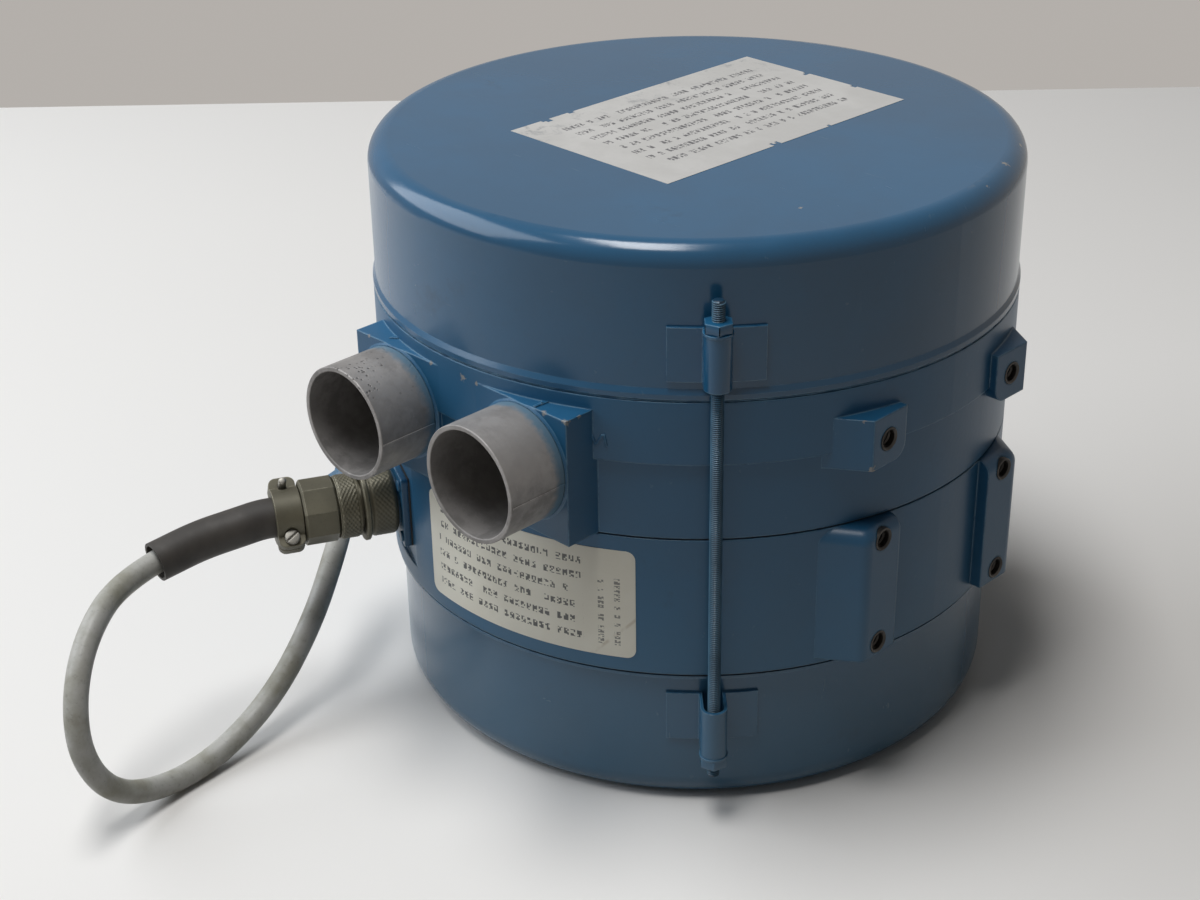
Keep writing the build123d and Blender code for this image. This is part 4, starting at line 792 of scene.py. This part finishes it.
def make_materials():
    olive = tuple(settings("blower_finish").olive)
    MATERIALS["sheet_enamel"] = enamel_material(
        "sheet_enamel", 900.0, 0.02 * MM, 0.17, 0.4 * MM, SHEET_CHIPS, coat=0.10
    )
    MATERIALS["cast_enamel"] = enamel_material(
        "cast_enamel", 520.0, 0.10 * MM, 0.36, 1.1 * MM, CAST_CHIPS, bare_bores=True
    )
    MATERIALS["thread_enamel_painted_light"] = thread_material()
    MATERIALS["port_casting"] = casting_material()
    MATERIALS["olive_plating"] = metal_material(
        "olive_plating", olive, 0.35, 0.46, 0.2, 90.0, 0.03 * MM, worn_edge_and_highlight_gain=0.8
    )
    for name, values in METALS.items():
        MATERIALS[name] = metal_material(name, *values)
    for name, values in RUBBERS.items():
        MATERIALS[name] = rubber_material(name, *values)
    MATERIALS["cable_jacket"] = jacket_material()
    MATERIALS["label_paper"] = paper_material()
    MATERIALS["label_film"] = plate_material()
    MATERIALS["studio_floor"] = floor_material()


def dress_nodes():
    for name, nodes in NODE_FINISHES.items():
        for node in nodes:
            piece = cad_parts[node]
            piece.data.materials.clear()
            piece.data.materials.append(finish(name))


# Small helpers for meshes


def piece_from(bm, name, material, smooth=30.0):
    """Closes a bmesh into a named object at the origin and smooths it by angle."""
    mesh = bpy.data.meshes.new(name)
    bm.to_mesh(mesh)
    bm.free()
    mesh.materials.append(material)
    mesh.shade_smooth()
    mesh.set_sharp_from_angle(angle=math.radians(smooth))
    piece = bpy.data.objects.new(name, mesh)
    bpy.context.scene.collection.objects.link(piece)
    return piece


def whole(bm):
    return bm.verts[:] + bm.edges[:] + bm.faces[:]


def vertices_in(made):
    return [item for item in made["geom"] if isinstance(item, bmesh.types.BMVert)]


def move(bm, matrix):
    bmesh.ops.transform(bm, matrix=matrix, verts=bm.verts[:])


def face_outwards(bm):
    bmesh.ops.recalc_face_normals(bm, faces=bm.faces[:])


def merge_doubles(bm):
    bmesh.ops.remove_doubles(bm, verts=bm.verts[:], dist=1e-6)


def ease_edges(bm, edges, offset, segments=2):
    bmesh.ops.bevel(
        bm, geom=edges, offset=offset, segments=segments, profile=0.5, affect="EDGES", material=-1
    )


def in_metres(outline, lift=0.0):
    """An outline of (radius, height) points from millimetres to metres, raised by a lift."""
    return [(radius * MM, lift + height * MM) for radius, height in outline]


def chain(bm, outline):
    """Vertices at (radius, height) points, joined in a row."""
    verts = [bm.verts.new((radius, 0, height)) for radius, height in outline]
    return verts, [bm.edges.new(pair) for pair in zip(verts, verts[1:])]


def lathe(bm, outline, steps):
    """Spins a closed outline of (radius, height) points round local Z."""
    verts, edges = chain(bm, outline)
    edges.append(bm.edges.new((verts[-1], verts[0])))
    bmesh.ops.spin(
        bm, geom=verts + edges, cent=(0, 0, 0), axis=(0, 0, 1), angle=math.tau, steps=steps,
        use_merge=True, use_duplicate=False,
    )
    merge_doubles(bm)
    face_outwards(bm)


def helix(bm, outline, turns, pitch, steps):
    """Spins an open outline up local Z, one pitch for each turn."""
    verts, edges = chain(bm, outline)
    bmesh.ops.spin(
        bm, geom=verts + edges, cent=(0, 0, 0), axis=(0, 0, 1), angle=math.tau * turns,
        steps=turns * steps, dvec=(0, 0, pitch / steps), use_duplicate=False,
    )
    merge_doubles(bm)


def prism(bm, radius, foot, height, segments):
    """An upright prism or cylinder on local Z; returns the edges of its two ends."""
    made = bmesh.ops.create_cone(
        bm, cap_ends=True, segments=segments, radius1=radius, radius2=radius, depth=height,
        matrix=Matrix.Translation((0, 0, foot + height / 2)),
    )
    fresh = set(made["verts"])
    own = [edge for edge in bm.edges if edge.verts[0] in fresh]
    return [edge for edge in own if abs(edge.verts[0].co.z - edge.verts[1].co.z) < 1e-7]


def block(bm, centre, size):
    bmesh.ops.create_cube(bm, size=1.0, matrix=Matrix.Translation(centre) @ Matrix.Diagonal((*size, 1.0)))


def flat_sheet(bm, width, length, columns=1, rows=1):
    bmesh.ops.create_grid(bm, x_segments=columns, y_segments=rows, size=0.5)
    bmesh.ops.scale(bm, vec=(width, length, 1), verts=bm.verts[:])


def thicken(bm, thickness):
    """Raises a flat sheet to its thickness."""
    made = bmesh.ops.extrude_face_region(bm, geom=bm.faces[:])
    bmesh.ops.translate(bm, vec=(0, 0, thickness), verts=vertices_in(made))
    face_outwards(bm)


def push_out(vert, distance, rise=0.0):
    """Moves a vertex away from local Z, and up."""
    lift = 1 + distance / vert.co.xy.length
    vert.co = Vector((vert.co.x * lift, vert.co.y * lift, vert.co.z + rise))


def add_copy(bm, source, matrix):
    """Adds a transformed copy of one bmesh to another."""
    mesh = bpy.data.meshes.new("copy_scratch")
    source.to_mesh(mesh)
    mesh.transform(matrix)
    bm.from_mesh(mesh)
    bpy.data.meshes.remove(mesh)


def frame_matrix(right, up, back, place):
    """Local X, Y and Z along three directions, from a place."""
    return Matrix.Translation(place) @ Matrix((right, up, back)).transposed().to_4x4()


def outward_matrix(angle, distance, height):
    """Local Z points out of the canister at this angle, local Y is up."""
    out = Vector((math.cos(angle), math.sin(angle), 0))
    up = Vector((0, 0, 1))
    return frame_matrix(up.cross(out), up, out, out * distance + up * height)


def copies_round(bm, count, start_angle, radius):
    """Moves what the bmesh holds out to a radius and repeats it round the canister."""
    move(bm, Matrix.Translation((radius, 0, 0)))
    first = whole(bm)
    for turn in range(1, count):
        made = bmesh.ops.duplicate(bm, geom=first)
        spin = Matrix.Rotation(turn * math.tau / count, 4, "Z")
        bmesh.ops.transform(bm, matrix=spin, verts=vertices_in(made))
    move(bm, Matrix.Rotation(start_angle, 4, "Z"))


def knurl(angle, rise, across, along):
    """Height of a diamond knurl from 0 to 1, for an angle and a share of the band's length."""
    first = math.cos(across * angle + math.tau * along * rise)
    second = math.cos(across * angle - math.tau * along * rise)
    return 0.5 + 0.25 * (first + second)


def threaded_bar(bm, foot, top, radius, depth, pitch, steps=14):
    """A helical thread on local Z between two heights, with closed and bevelled ends."""
    turns = int((top - foot) / pitch) - 1
    start = foot + ((top - foot) - turns * pitch) / 2 - pitch / 2
    root = radius - depth
    helix(bm, [(root, start), (radius, start + pitch / 2), (root, start + pitch)], turns, pitch, steps)
    bmesh.ops.holes_fill(bm, edges=[edge for edge in bm.edges if edge.is_boundary], sides=0)
    tips = prism(bm, root * 1.02, foot, top - foot, steps * 2)
    ease_edges(bm, tips, depth)
    face_outwards(bm)


def threaded_hole(bm, radius, depth, pitch, foot, top, steps=20):
    """The inside of a threaded hole: a helix whose crests point at the axis."""
    turns = int((top - foot) / pitch) - 1
    outline = [(radius, foot), (radius - depth, foot + pitch / 2), (radius, foot + pitch)]
    helix(bm, outline, turns, pitch, steps)
    bmesh.ops.solidify(bm, geom=bm.faces[:], thickness=0.08 * MM)
    face_outwards(bm)


def hex_nut(bm, flats, foot, height, chamfer):
    """A hexagon nut on local Z with its corners turned off above and below."""
    rims = prism(bm, flats / 2 / math.cos(math.pi / 6), foot, height, 6)
    ease_edges(bm, rims, chamfer)
    inner = [edge for edge in bm.edges if len(edge.link_faces) == 2]
    sides = [edge for edge in inner if all(abs(face.normal.z) < 0.1 for face in edge.link_faces)]
    ease_edges(bm, sides, chamfer / 2)


# Pieces


def make_rods():
    hardware = settings("blower_hardware")
    low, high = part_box("tie_rods")
    bm = bmesh.new()
    threaded_bar(bm, low.z, high.z, ROD_RADIUS, hardware.rod_depth, hardware.rod_pitch)
    # The crest attribute places the thread's painted shade in the valleys and its painted highlight on the
    # crests.
    crest = bm.verts.layers.float.new("crest")
    for vert in bm.verts:
        vert[crest] = max(0.0, 1 - (ROD_RADIUS - vert.co.xy.length) / hardware.rod_depth)
    copies_round(bm, ROD_COUNT, ROD_START, ROD_CIRCLE)
    rods = piece_from(bm, "threaded_tie_rods", finish("thread_enamel_painted_light"), 25.0)
    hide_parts("tie_rods")
    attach(rods, "housing")


def make_nuts():
    low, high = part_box("rod_nuts")
    bm = bmesh.new()
    for foot in (high.z - NUT_HEIGHT, low.z):
        hex_nut(bm, NUT_FLATS, foot, NUT_HEIGHT, 0.45 * MM)
    move(bm, Matrix.Rotation(NUT_TURN, 4, "Z"))
    copies_round(bm, ROD_COUNT, ROD_START, ROD_CIRCLE)
    nuts = piece_from(bm, "tie_rod_nuts", finish("sheet_enamel"), 35.0)
    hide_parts("rod_nuts")
    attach(nuts, "housing")


def make_inserts():
    """Threaded inserts: a collar with a lead-in and a visible thread inside."""
    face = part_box("threaded_inserts")[1].x
    one = bmesh.new()
    outline = [(4.45, -9.4), (4.45, -0.25), (4.2, 0.0), (3.9, 0.0), (3.3, -0.6), (3.3, -9.4)]
    lathe(one, in_metres(outline), 40)
    threaded_hole(one, INSERT_BORE, 0.45 * MM, INSERT_PITCH, 0.2 * MM - INSERT_DEPTH, -0.4 * MM)
    bm = bmesh.new()
    into_boss = Matrix.Rotation(math.radians(90), 4, "Y")
    for side in (-1, 1):
        for height in INSERT_HEIGHTS:
            add_copy(bm, one, Matrix.Translation((face, side * INSERT_ASIDE, height * MM)) @ into_boss)
    one.free()
    inserts = piece_from(bm, "mounting_inserts", finish("insert_steel"), 35.0)
    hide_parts("threaded_inserts")
    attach(inserts, "housing")


def make_top_label():
    """Paper label on the top cover: a thin sheet with a few nicks torn out of its edges."""
    look = settings("blower_labels")
    width, length = look.top_size
    bm = bmesh.new()
    flat_sheet(bm, width, length, 60, 94)
    nicks = [
        (Vector((-width / 2, -length * 0.36)), 2.2 * MM),
        (Vector((-width / 2, -length * 0.27)), 1.2 * MM),
        (Vector((width / 2, length * 0.17)), 1.5 * MM),
        (Vector((width / 2, -length * 0.06)), 2.4 * MM),
        (Vector((width * 0.2, length / 2)), 1.6 * MM),
        (Vector((-width * 0.1, length / 2)), 2.0 * MM),
    ]
    torn = []
    for face in bm.faces:
        centre = face.calc_center_median().xy
        ragged = 1 + 0.9 * noise.noise(Vector((centre.x, centre.y, 0.1)) * 420)
        if any((centre - place).length < reach * ragged for place, reach in nicks):
            torn.append(face)
    bmesh.ops.delete(bm, geom=torn, context="FACES")
    thicken(bm, 0.14 * MM)
    place = Matrix.Translation((*look.top_centre, CANISTER_TOP - 0.03 * MM))
    move(bm, place @ Matrix.Rotation(look.top_turn, 4, "Z"))
    label = piece_from(bm, "top_label", finish("label_paper"), 30.0)
    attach(label, "housing")


def make_name_plate():
    """Rounded film plate bent round the lower casting."""
    look = settings("blower_labels")
    first, last = (math.radians(angle) for angle in look.plate_angles)
    lower, upper = look.plate_heights
    width = (last - first) * CASTING_RADIUS
    slices = 60
    bm = bmesh.new()
    flat_sheet(bm, width, upper - lower)
    bmesh.ops.bevel(
        bm, geom=bm.verts[:], offset=3.6 * MM, segments=6, profile=0.5, affect="VERTICES", material=-1
    )
    for cut in range(1, slices):
        x = -width / 2 + cut * width / slices
        bmesh.ops.bisect_plane(bm, geom=whole(bm), plane_co=(x, 0, 0), plane_no=(1, 0, 0), dist=1e-7)
    thicken(bm, 0.2 * MM)
    for vert in bm.verts:
        angle = (first + last) / 2 + vert.co.x / CASTING_RADIUS
        out = CASTING_RADIUS - 0.04 * MM + vert.co.z
        vert.co = Vector((out * math.cos(angle), out * math.sin(angle), (lower + upper) / 2 + vert.co.y))
    plate = piece_from(bm, "rating_plate", finish("label_film"), 30.0)
    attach(plate, "housing")


def make_flow_arrows():
    """Raised plain arrows on the block, one out of the outlet and one into the inlet."""
    setback = 5.4 * MM
    thickness = 0.5 * MM
    level = BLOCK_TOP + 0.2 * MM
    bm = bmesh.new()
    for x, way in ((-PORT_X - 6 * MM, -1), (PORT_X + 6 * MM, 1)):
        head = (x, BLOCK_FRONT + setback)
        made = bmesh.ops.create_cone(
            bm, cap_ends=True, segments=3, radius1=2.6 * MM, radius2=2.4 * MM, depth=thickness,
            matrix=Matrix.Translation((*head, level)) @ Matrix.Rotation(math.radians(90 * way), 4, "Z"),
        )
        about_head = Matrix.Translation((-head[0], -head[1], 0))
        bmesh.ops.scale(bm, vec=(0.8, 1.0, 1.0), verts=made["verts"], space=about_head)
        block(bm, (x, head[1] - way * 3.0 * MM, level), (1.3 * MM, 4.0 * MM, thickness))
    arrows = piece_from(bm, "flow_arrows", finish("cast_enamel"), 30.0)
    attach(arrows, "housing")


def make_parting_lines():
    """Thin casting seam along both sides of each port tube."""
    start = BLOCK_FRONT - 1.3 * MM
    length = start - PORT_MOUTH - 0.6 * MM
    offset = PORT_RADIUS + 0.05 * MM
    bm = bmesh.new()
    for centre in (-PORT_X, PORT_X):
        for side in (-1, 1):
            place = (centre + side * offset, start - length / 2, PORT_HEIGHT - 1.5 * MM)
            block(bm, place, (0.5 * MM, length, 0.7 * MM))
    ease_edges(bm, bm.edges[:], 0.12 * MM)
    seams = piece_from(bm, "port_seams", finish("port_casting"), 40.0)
    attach(seams, "housing")


def make_grip_knurl():
    """Diamond-knurled band over the plug's grip."""
    across, rings = 264, 28
    foot, length = 144.1 * MM, 7.3 * MM
    core, ridge = 12.62 * MM, 0.42 * MM
    bm = bmesh.new()
    bmesh.ops.create_cone(
        bm, cap_ends=False, segments=across, radius1=core, radius2=core, depth=length
    )
    upright = [edge for edge in bm.edges if abs(edge.verts[0].co.z - edge.verts[1].co.z) > length / 2]
    bmesh.ops.subdivide_edges(bm, edges=upright, cuts=rings - 1, use_grid_fill=True)
    for vert in bm.verts:
        rise = vert.co.z / length
        if abs(rise) < 0.46:
            push_out(vert, ridge * knurl(math.atan2(vert.co.y, vert.co.x), rise, 33, 4.5))
    face_outwards(bm)
    bmesh.ops.solidify(bm, geom=bm.faces[:], thickness=0.3 * MM)
    move(bm, outward_matrix(PLUG_ANGLE, foot + length / 2, PLUG_HEIGHT))
    grip = piece_from(bm, "plug_grip_knurl", finish("olive_plating"), 30.0)
    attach(grip, "housing")


def make_coupling():
    """Coupling nut with a fine knurl over its front and a raised bead behind it."""
    start, end = 128.8 * MM, 142.2 * MM
    knurl_start, knurl_end = start + 1.3 * MM, end - 3.7 * MM
    knurl_length = knurl_end - knurl_start
    margin = 0.1 * MM
    rows = 26
    front = [(11.1, 0.0), (12.6, 0.0), (13.5, 0.9)]
    rear = [
        (13.1, -2.9), (13.1, -2.3), (14.6, -2.1), (15.0, -1.7), (15.0, -0.4), (14.6, 0.0), (9.8, 0.0),
        (9.8, -1.0), (11.1, -1.0),
    ]
    outline = in_metres(front, start)
    outline += [(13.62 * MM, knurl_start + knurl_length * row / rows) for row in range(rows + 1)]
    outline += in_metres(rear, end)
    bm = bmesh.new()
    lathe(bm, outline, 288)
    for vert in bm.verts:
        in_band = knurl_start + margin < vert.co.z < knurl_end - margin
        if in_band and vert.co.xy.length > 13.6 * MM:
            rise = (vert.co.z - knurl_start) / knurl_length
            push_out(vert, 0.22 * MM * knurl(math.atan2(vert.co.y, vert.co.x), rise, 36, 4.5))
    move(bm, outward_matrix(PLUG_ANGLE, 0, PLUG_HEIGHT))
    coupling = piece_from(bm, "knurled_coupling", finish("olive_plating"), 32.0)
    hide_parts("coupling_nut")
    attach(coupling, "coupling")


def clamp_screw():
    """One screw on local Z: a slotted head above a threaded shank."""
    head, top, thickness = 3.0 * MM, 5.8 * MM, 2.0 * MM
    slot, depth, sunk = 0.8 * MM, 0.9 * MM, 0.05 * MM
    screw = bmesh.new()
    prism(screw, head, top - thickness, thickness - depth, 40)
    for way in (-1, 1):
        half = bmesh.new()
        rims = prism(half, head, top - depth - sunk, depth + sunk, 40)
        ease_edges(half, rims, 0.3 * MM, 3)
        bmesh.ops.bisect_plane(
            half, geom=whole(half), dist=1e-7, plane_co=(way * slot / 2, 0, 0), plane_no=(-way, 0, 0),
            clear_outer=True,
        )
        bmesh.ops.holes_fill(half, edges=[edge for edge in half.edges if edge.is_boundary], sides=0)
        face_outwards(half)
        add_copy(screw, half, Matrix.Identity(4))
        half.free()
    shank = bmesh.new()
    threaded_bar(shank, -9.7 * MM, top - thickness + 0.1 * MM, 1.6 * MM, 0.3 * MM, 0.6 * MM)
    add_copy(screw, shank, Matrix.Identity(4))
    shank.free()
    return screw


def make_clamp_screws():
    """Slotted clamp screws: one shows its head, the other its threaded end."""
    out = Vector((math.cos(PLUG_ANGLE), math.sin(PLUG_ANGLE), 0))
    side = Vector((-out.y, out.x, 0))
    ear = side * -math.sin(CLAMP_TILT) + Vector((0, 0, math.cos(CLAMP_TILT)))
    across = out.cross(-ear)
    centre = out * CLAMP_DISTANCE + Vector((0, 0, PLUG_HEIGHT))
    slot_turn = Matrix.Rotation(0.6, 4, "Z")
    screw = clamp_screw()
    bm = bmesh.new()
    for way in (-1, 1):
        up = across * way
        place = frame_matrix(out.cross(up), out, up, centre - ear * way * 11.2 * MM)
        add_copy(bm, screw, place @ slot_turn)
    screw.free()
    face_outwards(bm)
    screws = piece_from(bm, "slotted_clamp_screws", finish("dull_steel"), 30.0)
    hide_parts("clamp_screws")
    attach(screws, "housing")


def make_joint_sealant():
    """Cracked bead of sealant and paint squeezed out under the top cover."""
    outline = [(126.6, -0.45), (127.3, -0.5), (127.7, -0.25), (127.75, 0.2), (127.3, 0.45), (126.6, 0.4)]
    bm = bmesh.new()
    lathe(bm, in_metres(outline, (BAND_TOP + COVER_BOTTOM) / 2), 1080)
    for vert in bm.verts:
        if vert.co.xy.length > 127.0 * MM:
            wander = noise.noise(vert.co * 55) * 0.5 + noise.noise(vert.co * 330) * 0.7
            push_out(vert, 0.45 * MM * wander, 0.1 * MM * wander)
    sealant = piece_from(bm, "joint_sealant", finish("cast_enamel"), 50.0)
    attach(sealant, "housing")


def make_foundry_mark():
    """Three short raised bars cast on the wall beside the inlet."""
    bm = bmesh.new()
    for offset, lean in ((-2.2, 0.35), (0.0, -0.5), (2.1, 0.2)):
        bar = bmesh.new()
        block(bar, (0, 0, 0), (0.9 * MM, 5.0 * MM, 1.0 * MM))
        ease_edges(bar, bar.edges[:], 0.25 * MM)
        add_copy(bm, bar, Matrix.Translation((offset * MM, 0, 0)) @ Matrix.Rotation(lean, 4, "Z"))
        bar.free()
    move(bm, outward_matrix(math.radians(-62.5), BAND_RADIUS, 157.0 * MM))
    mark = piece_from(bm, "foundry_mark", finish("cast_enamel"), 40.0)
    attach(mark, "housing")


def make_cable():
    """The cable as one smooth spline through the route's control points."""
    curve = bpy.data.curves.new("power_cable", "CURVE")
    curve.dimensions = "3D"
    spline = curve.splines.new("NURBS")
    spline.points.add(len(CABLE_ROUTE) - 1)
    for point, place in zip(spline.points, CABLE_ROUTE):
        point.co = (*place, 1.0)
    spline.order_u = 3
    spline.use_endpoint_u = True
    spline.resolution_u = 10
    curve.bevel_depth = CABLE_RADIUS
    curve.bevel_resolution = 8
    curve.use_fill_caps = True
    curve.materials.append(finish("cable_jacket"))
    cable = bpy.data.objects.new("power_cable", curve)
    bpy.context.scene.collection.objects.link(cable)
    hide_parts("cable")
    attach(cable, "housing")


# Stage


def make_camera():
    flat = CAMERA_FORWARD.cross(Vector((0, 0, 1))).normalized()
    rise = flat.cross(CAMERA_FORWARD)
    right = flat * math.cos(CAMERA_ROLL) + rise * math.sin(CAMERA_ROLL)
    up = right.cross(CAMERA_FORWARD)
    data = bpy.data.cameras.new("photo_camera")
    data.sensor_width = SENSOR_WIDTH
    data.lens = FOCAL_PIXELS / PHOTO_WIDTH * SENSOR_WIDTH
    data.clip_start = NEAREST_SEEN
    data.clip_end = FURTHEST_SEEN
    camera = bpy.data.objects.new("photo_camera", data)
    camera.matrix_world = frame_matrix(right, up, -CAMERA_FORWARD, CAMERA_PLACE)
    bpy.context.scene.collection.objects.link(camera)
    bpy.context.scene.camera = camera


def make_light(name, place, aim, size, power, colour):
    data = bpy.data.lights.new(name, "AREA")
    data.shape = "RECTANGLE"
    data.size, data.size_y = size
    data.energy = power
    data.color = colour
    lamp = bpy.data.objects.new(name, data)
    lamp.location = place
    lamp.rotation_euler = (Vector(aim) - Vector(place)).to_track_quat("-Z", "Y").to_euler()
    bpy.context.scene.collection.objects.link(lamp)


def make_lights():
    look = settings("blower_studio")
    make_light(
        "ceiling_light", (-0.12, -0.40, 2.2), (0, -0.30, 0), (1.3, 0.55), look.ceiling_power, CEILING_COLOUR
    )
    make_light(
        "window_light", (-1.30, -0.95, 1.20), (0, 0, 0.1), (2.0, 1.5), look.window_power, WINDOW_COLOUR
    )


def make_table():
    """Level table whose far edge lies square to the view."""
    look = settings("blower_studio")
    bm = bmesh.new()
    flat_sheet(bm, look.table_depth + look.table_front, look.table_width)
    middle = Matrix.Translation(((look.table_depth - look.table_front) / 2, 0, 0))
    move(bm, Matrix.Rotation(math.atan2(CAMERA_FORWARD.y, CAMERA_FORWARD.x), 4, "Z") @ middle)
    floor = piece_from(bm, "studio_floor", finish("studio_floor"))


def make_world():
    """Dim even light around the object, and a plain wall for the rays that show it."""
    look = settings("blower_studio")
    world = bpy.data.worlds.new("studio_world")
    world.use_nodes = True
    nodes = world.node_tree.nodes
    shader = Shader(world.node_tree)
    around = nodes["Background"]
    shader.put(around, {"Color": (*AMBIENT_COLOUR, 1.0), "Strength": look.ambient})
    wall = shader.new("ShaderNodeBackground", {"Color": (*look.backdrop, 1.0), "Strength": 1.0})[0]
    choice = shader.new("ShaderNodeMixShader", {0: shader.seen_rays(), 1: around.outputs[0], 2: wall})[0]
    shader.put(nodes["World Output"], {"Surface": choice})
    bpy.context.scene.world = world
    bpy.context.scene.view_settings.view_transform = "Standard"


# Operators, one for each piece or group of like pieces


class BLOWER_OT_finishes(bpy.types.Operator):
    """Makes the finishes and puts them on the frame's nodes"""

    bl_idname = "blower.finishes"
    bl_label = "Finishes"

    def execute(self, context):
        make_materials()
        dress_nodes()
        return {"FINISHED"}


class BLOWER_OT_stage(bpy.types.Operator):
    """Adds the camera, the table, the lights and the wall"""

    bl_idname = "blower.stage"
    bl_label = "Studio and camera"

    def execute(self, context):
        make_camera()
        make_table()
        make_lights()
        make_world()
        return {"FINISHED"}


class BLOWER_OT_cable(bpy.types.Operator):
    """Lays the cable loop"""

    bl_idname = "blower.cable"
    bl_label = "Cable"

    def execute(self, context):
        make_cable()
        return {"FINISHED"}


class BLOWER_OT_rods(bpy.types.Operator):
    """Cuts the threads of the tie rods and turns their nuts"""

    bl_idname = "blower.rods"
    bl_label = "Tie rods and nuts"

    def execute(self, context):
        make_rods()
        make_nuts()
        return {"FINISHED"}


class BLOWER_OT_inserts(bpy.types.Operator):
    """Sets the threaded inserts in the mounting bosses"""

    bl_idname = "blower.inserts"
    bl_label = "Mounting inserts"

    def execute(self, context):
        make_inserts()
        return {"FINISHED"}


class BLOWER_OT_labels(bpy.types.Operator):
    """Puts on the paper label and the rating plate"""

    bl_idname = "blower.labels"
    bl_label = "Labels"

    def execute(self, context):
        make_top_label()
        make_name_plate()
        return {"FINISHED"}


class BLOWER_OT_ports(bpy.types.Operator):
    """Adds the casting seams and the flow arrows of the ports"""

    bl_idname = "blower.ports"
    bl_label = "Port details"

    def execute(self, context):
        make_parting_lines()
        make_flow_arrows()
        return {"FINISHED"}


class BLOWER_OT_seams(bpy.types.Operator):
    """Runs the sealant round the top joint and casts the foundry mark"""

    bl_idname = "blower.seams"
    bl_label = "Joint sealant and mark"

    def execute(self, context):
        make_joint_sealant()
        make_foundry_mark()
        return {"FINISHED"}


class BLOWER_OT_connector(bpy.types.Operator):
    """Knurls the plug's grip and coupling and fits the clamp's screws"""

    bl_idname = "blower.connector"
    bl_label = "Connector details"

    def execute(self, context):
        make_grip_knurl()
        make_coupling()
        make_clamp_screws()
        return {"FINISHED"}


class BLOWER_PT_pieces(bpy.types.Panel):
    """Lists the blower's pieces"""

    bl_idname = "BLOWER_PT_pieces"
    bl_label = "Blower"
    bl_space_type = "VIEW_3D"
    bl_region_type = "UI"
    bl_category = "Blower"

    def draw(self, context):
        for operator in OPERATORS:
            self.layout.operator(operator.bl_idname)


OPERATORS = (
    BLOWER_OT_finishes,
    BLOWER_OT_stage,
    BLOWER_OT_cable,
    BLOWER_OT_rods,
    BLOWER_OT_inserts,
    BLOWER_OT_labels,
    BLOWER_OT_ports,
    BLOWER_OT_seams,
    BLOWER_OT_connector,
)


def register():
    for name, group_class in SETTINGS.items():
        bpy.utils.register_class(group_class)
        setattr(bpy.types.Scene, name, bpy.props.PointerProperty(type=group_class))
    for operator in OPERATORS:
        bpy.utils.register_class(operator)
    bpy.utils.register_class(BLOWER_PT_pieces)


def unregister():
    bpy.utils.unregister_class(BLOWER_PT_pieces)
    for operator in reversed(OPERATORS):
        bpy.utils.unregister_class(operator)
    for name, group_class in SETTINGS.items():
        delattr(bpy.types.Scene, name)
        bpy.utils.unregister_class(group_class)


def main():
    register()
    bpy.ops.blower.finishes()
    bpy.ops.blower.stage()
    bpy.ops.blower.cable()
    bpy.ops.blower.rods()
    bpy.ops.blower.inserts()
    bpy.ops.blower.labels()
    bpy.ops.blower.ports()
    bpy.ops.blower.seams()
    bpy.ops.blower.connector()


if __name__ == "__main__":
    main()
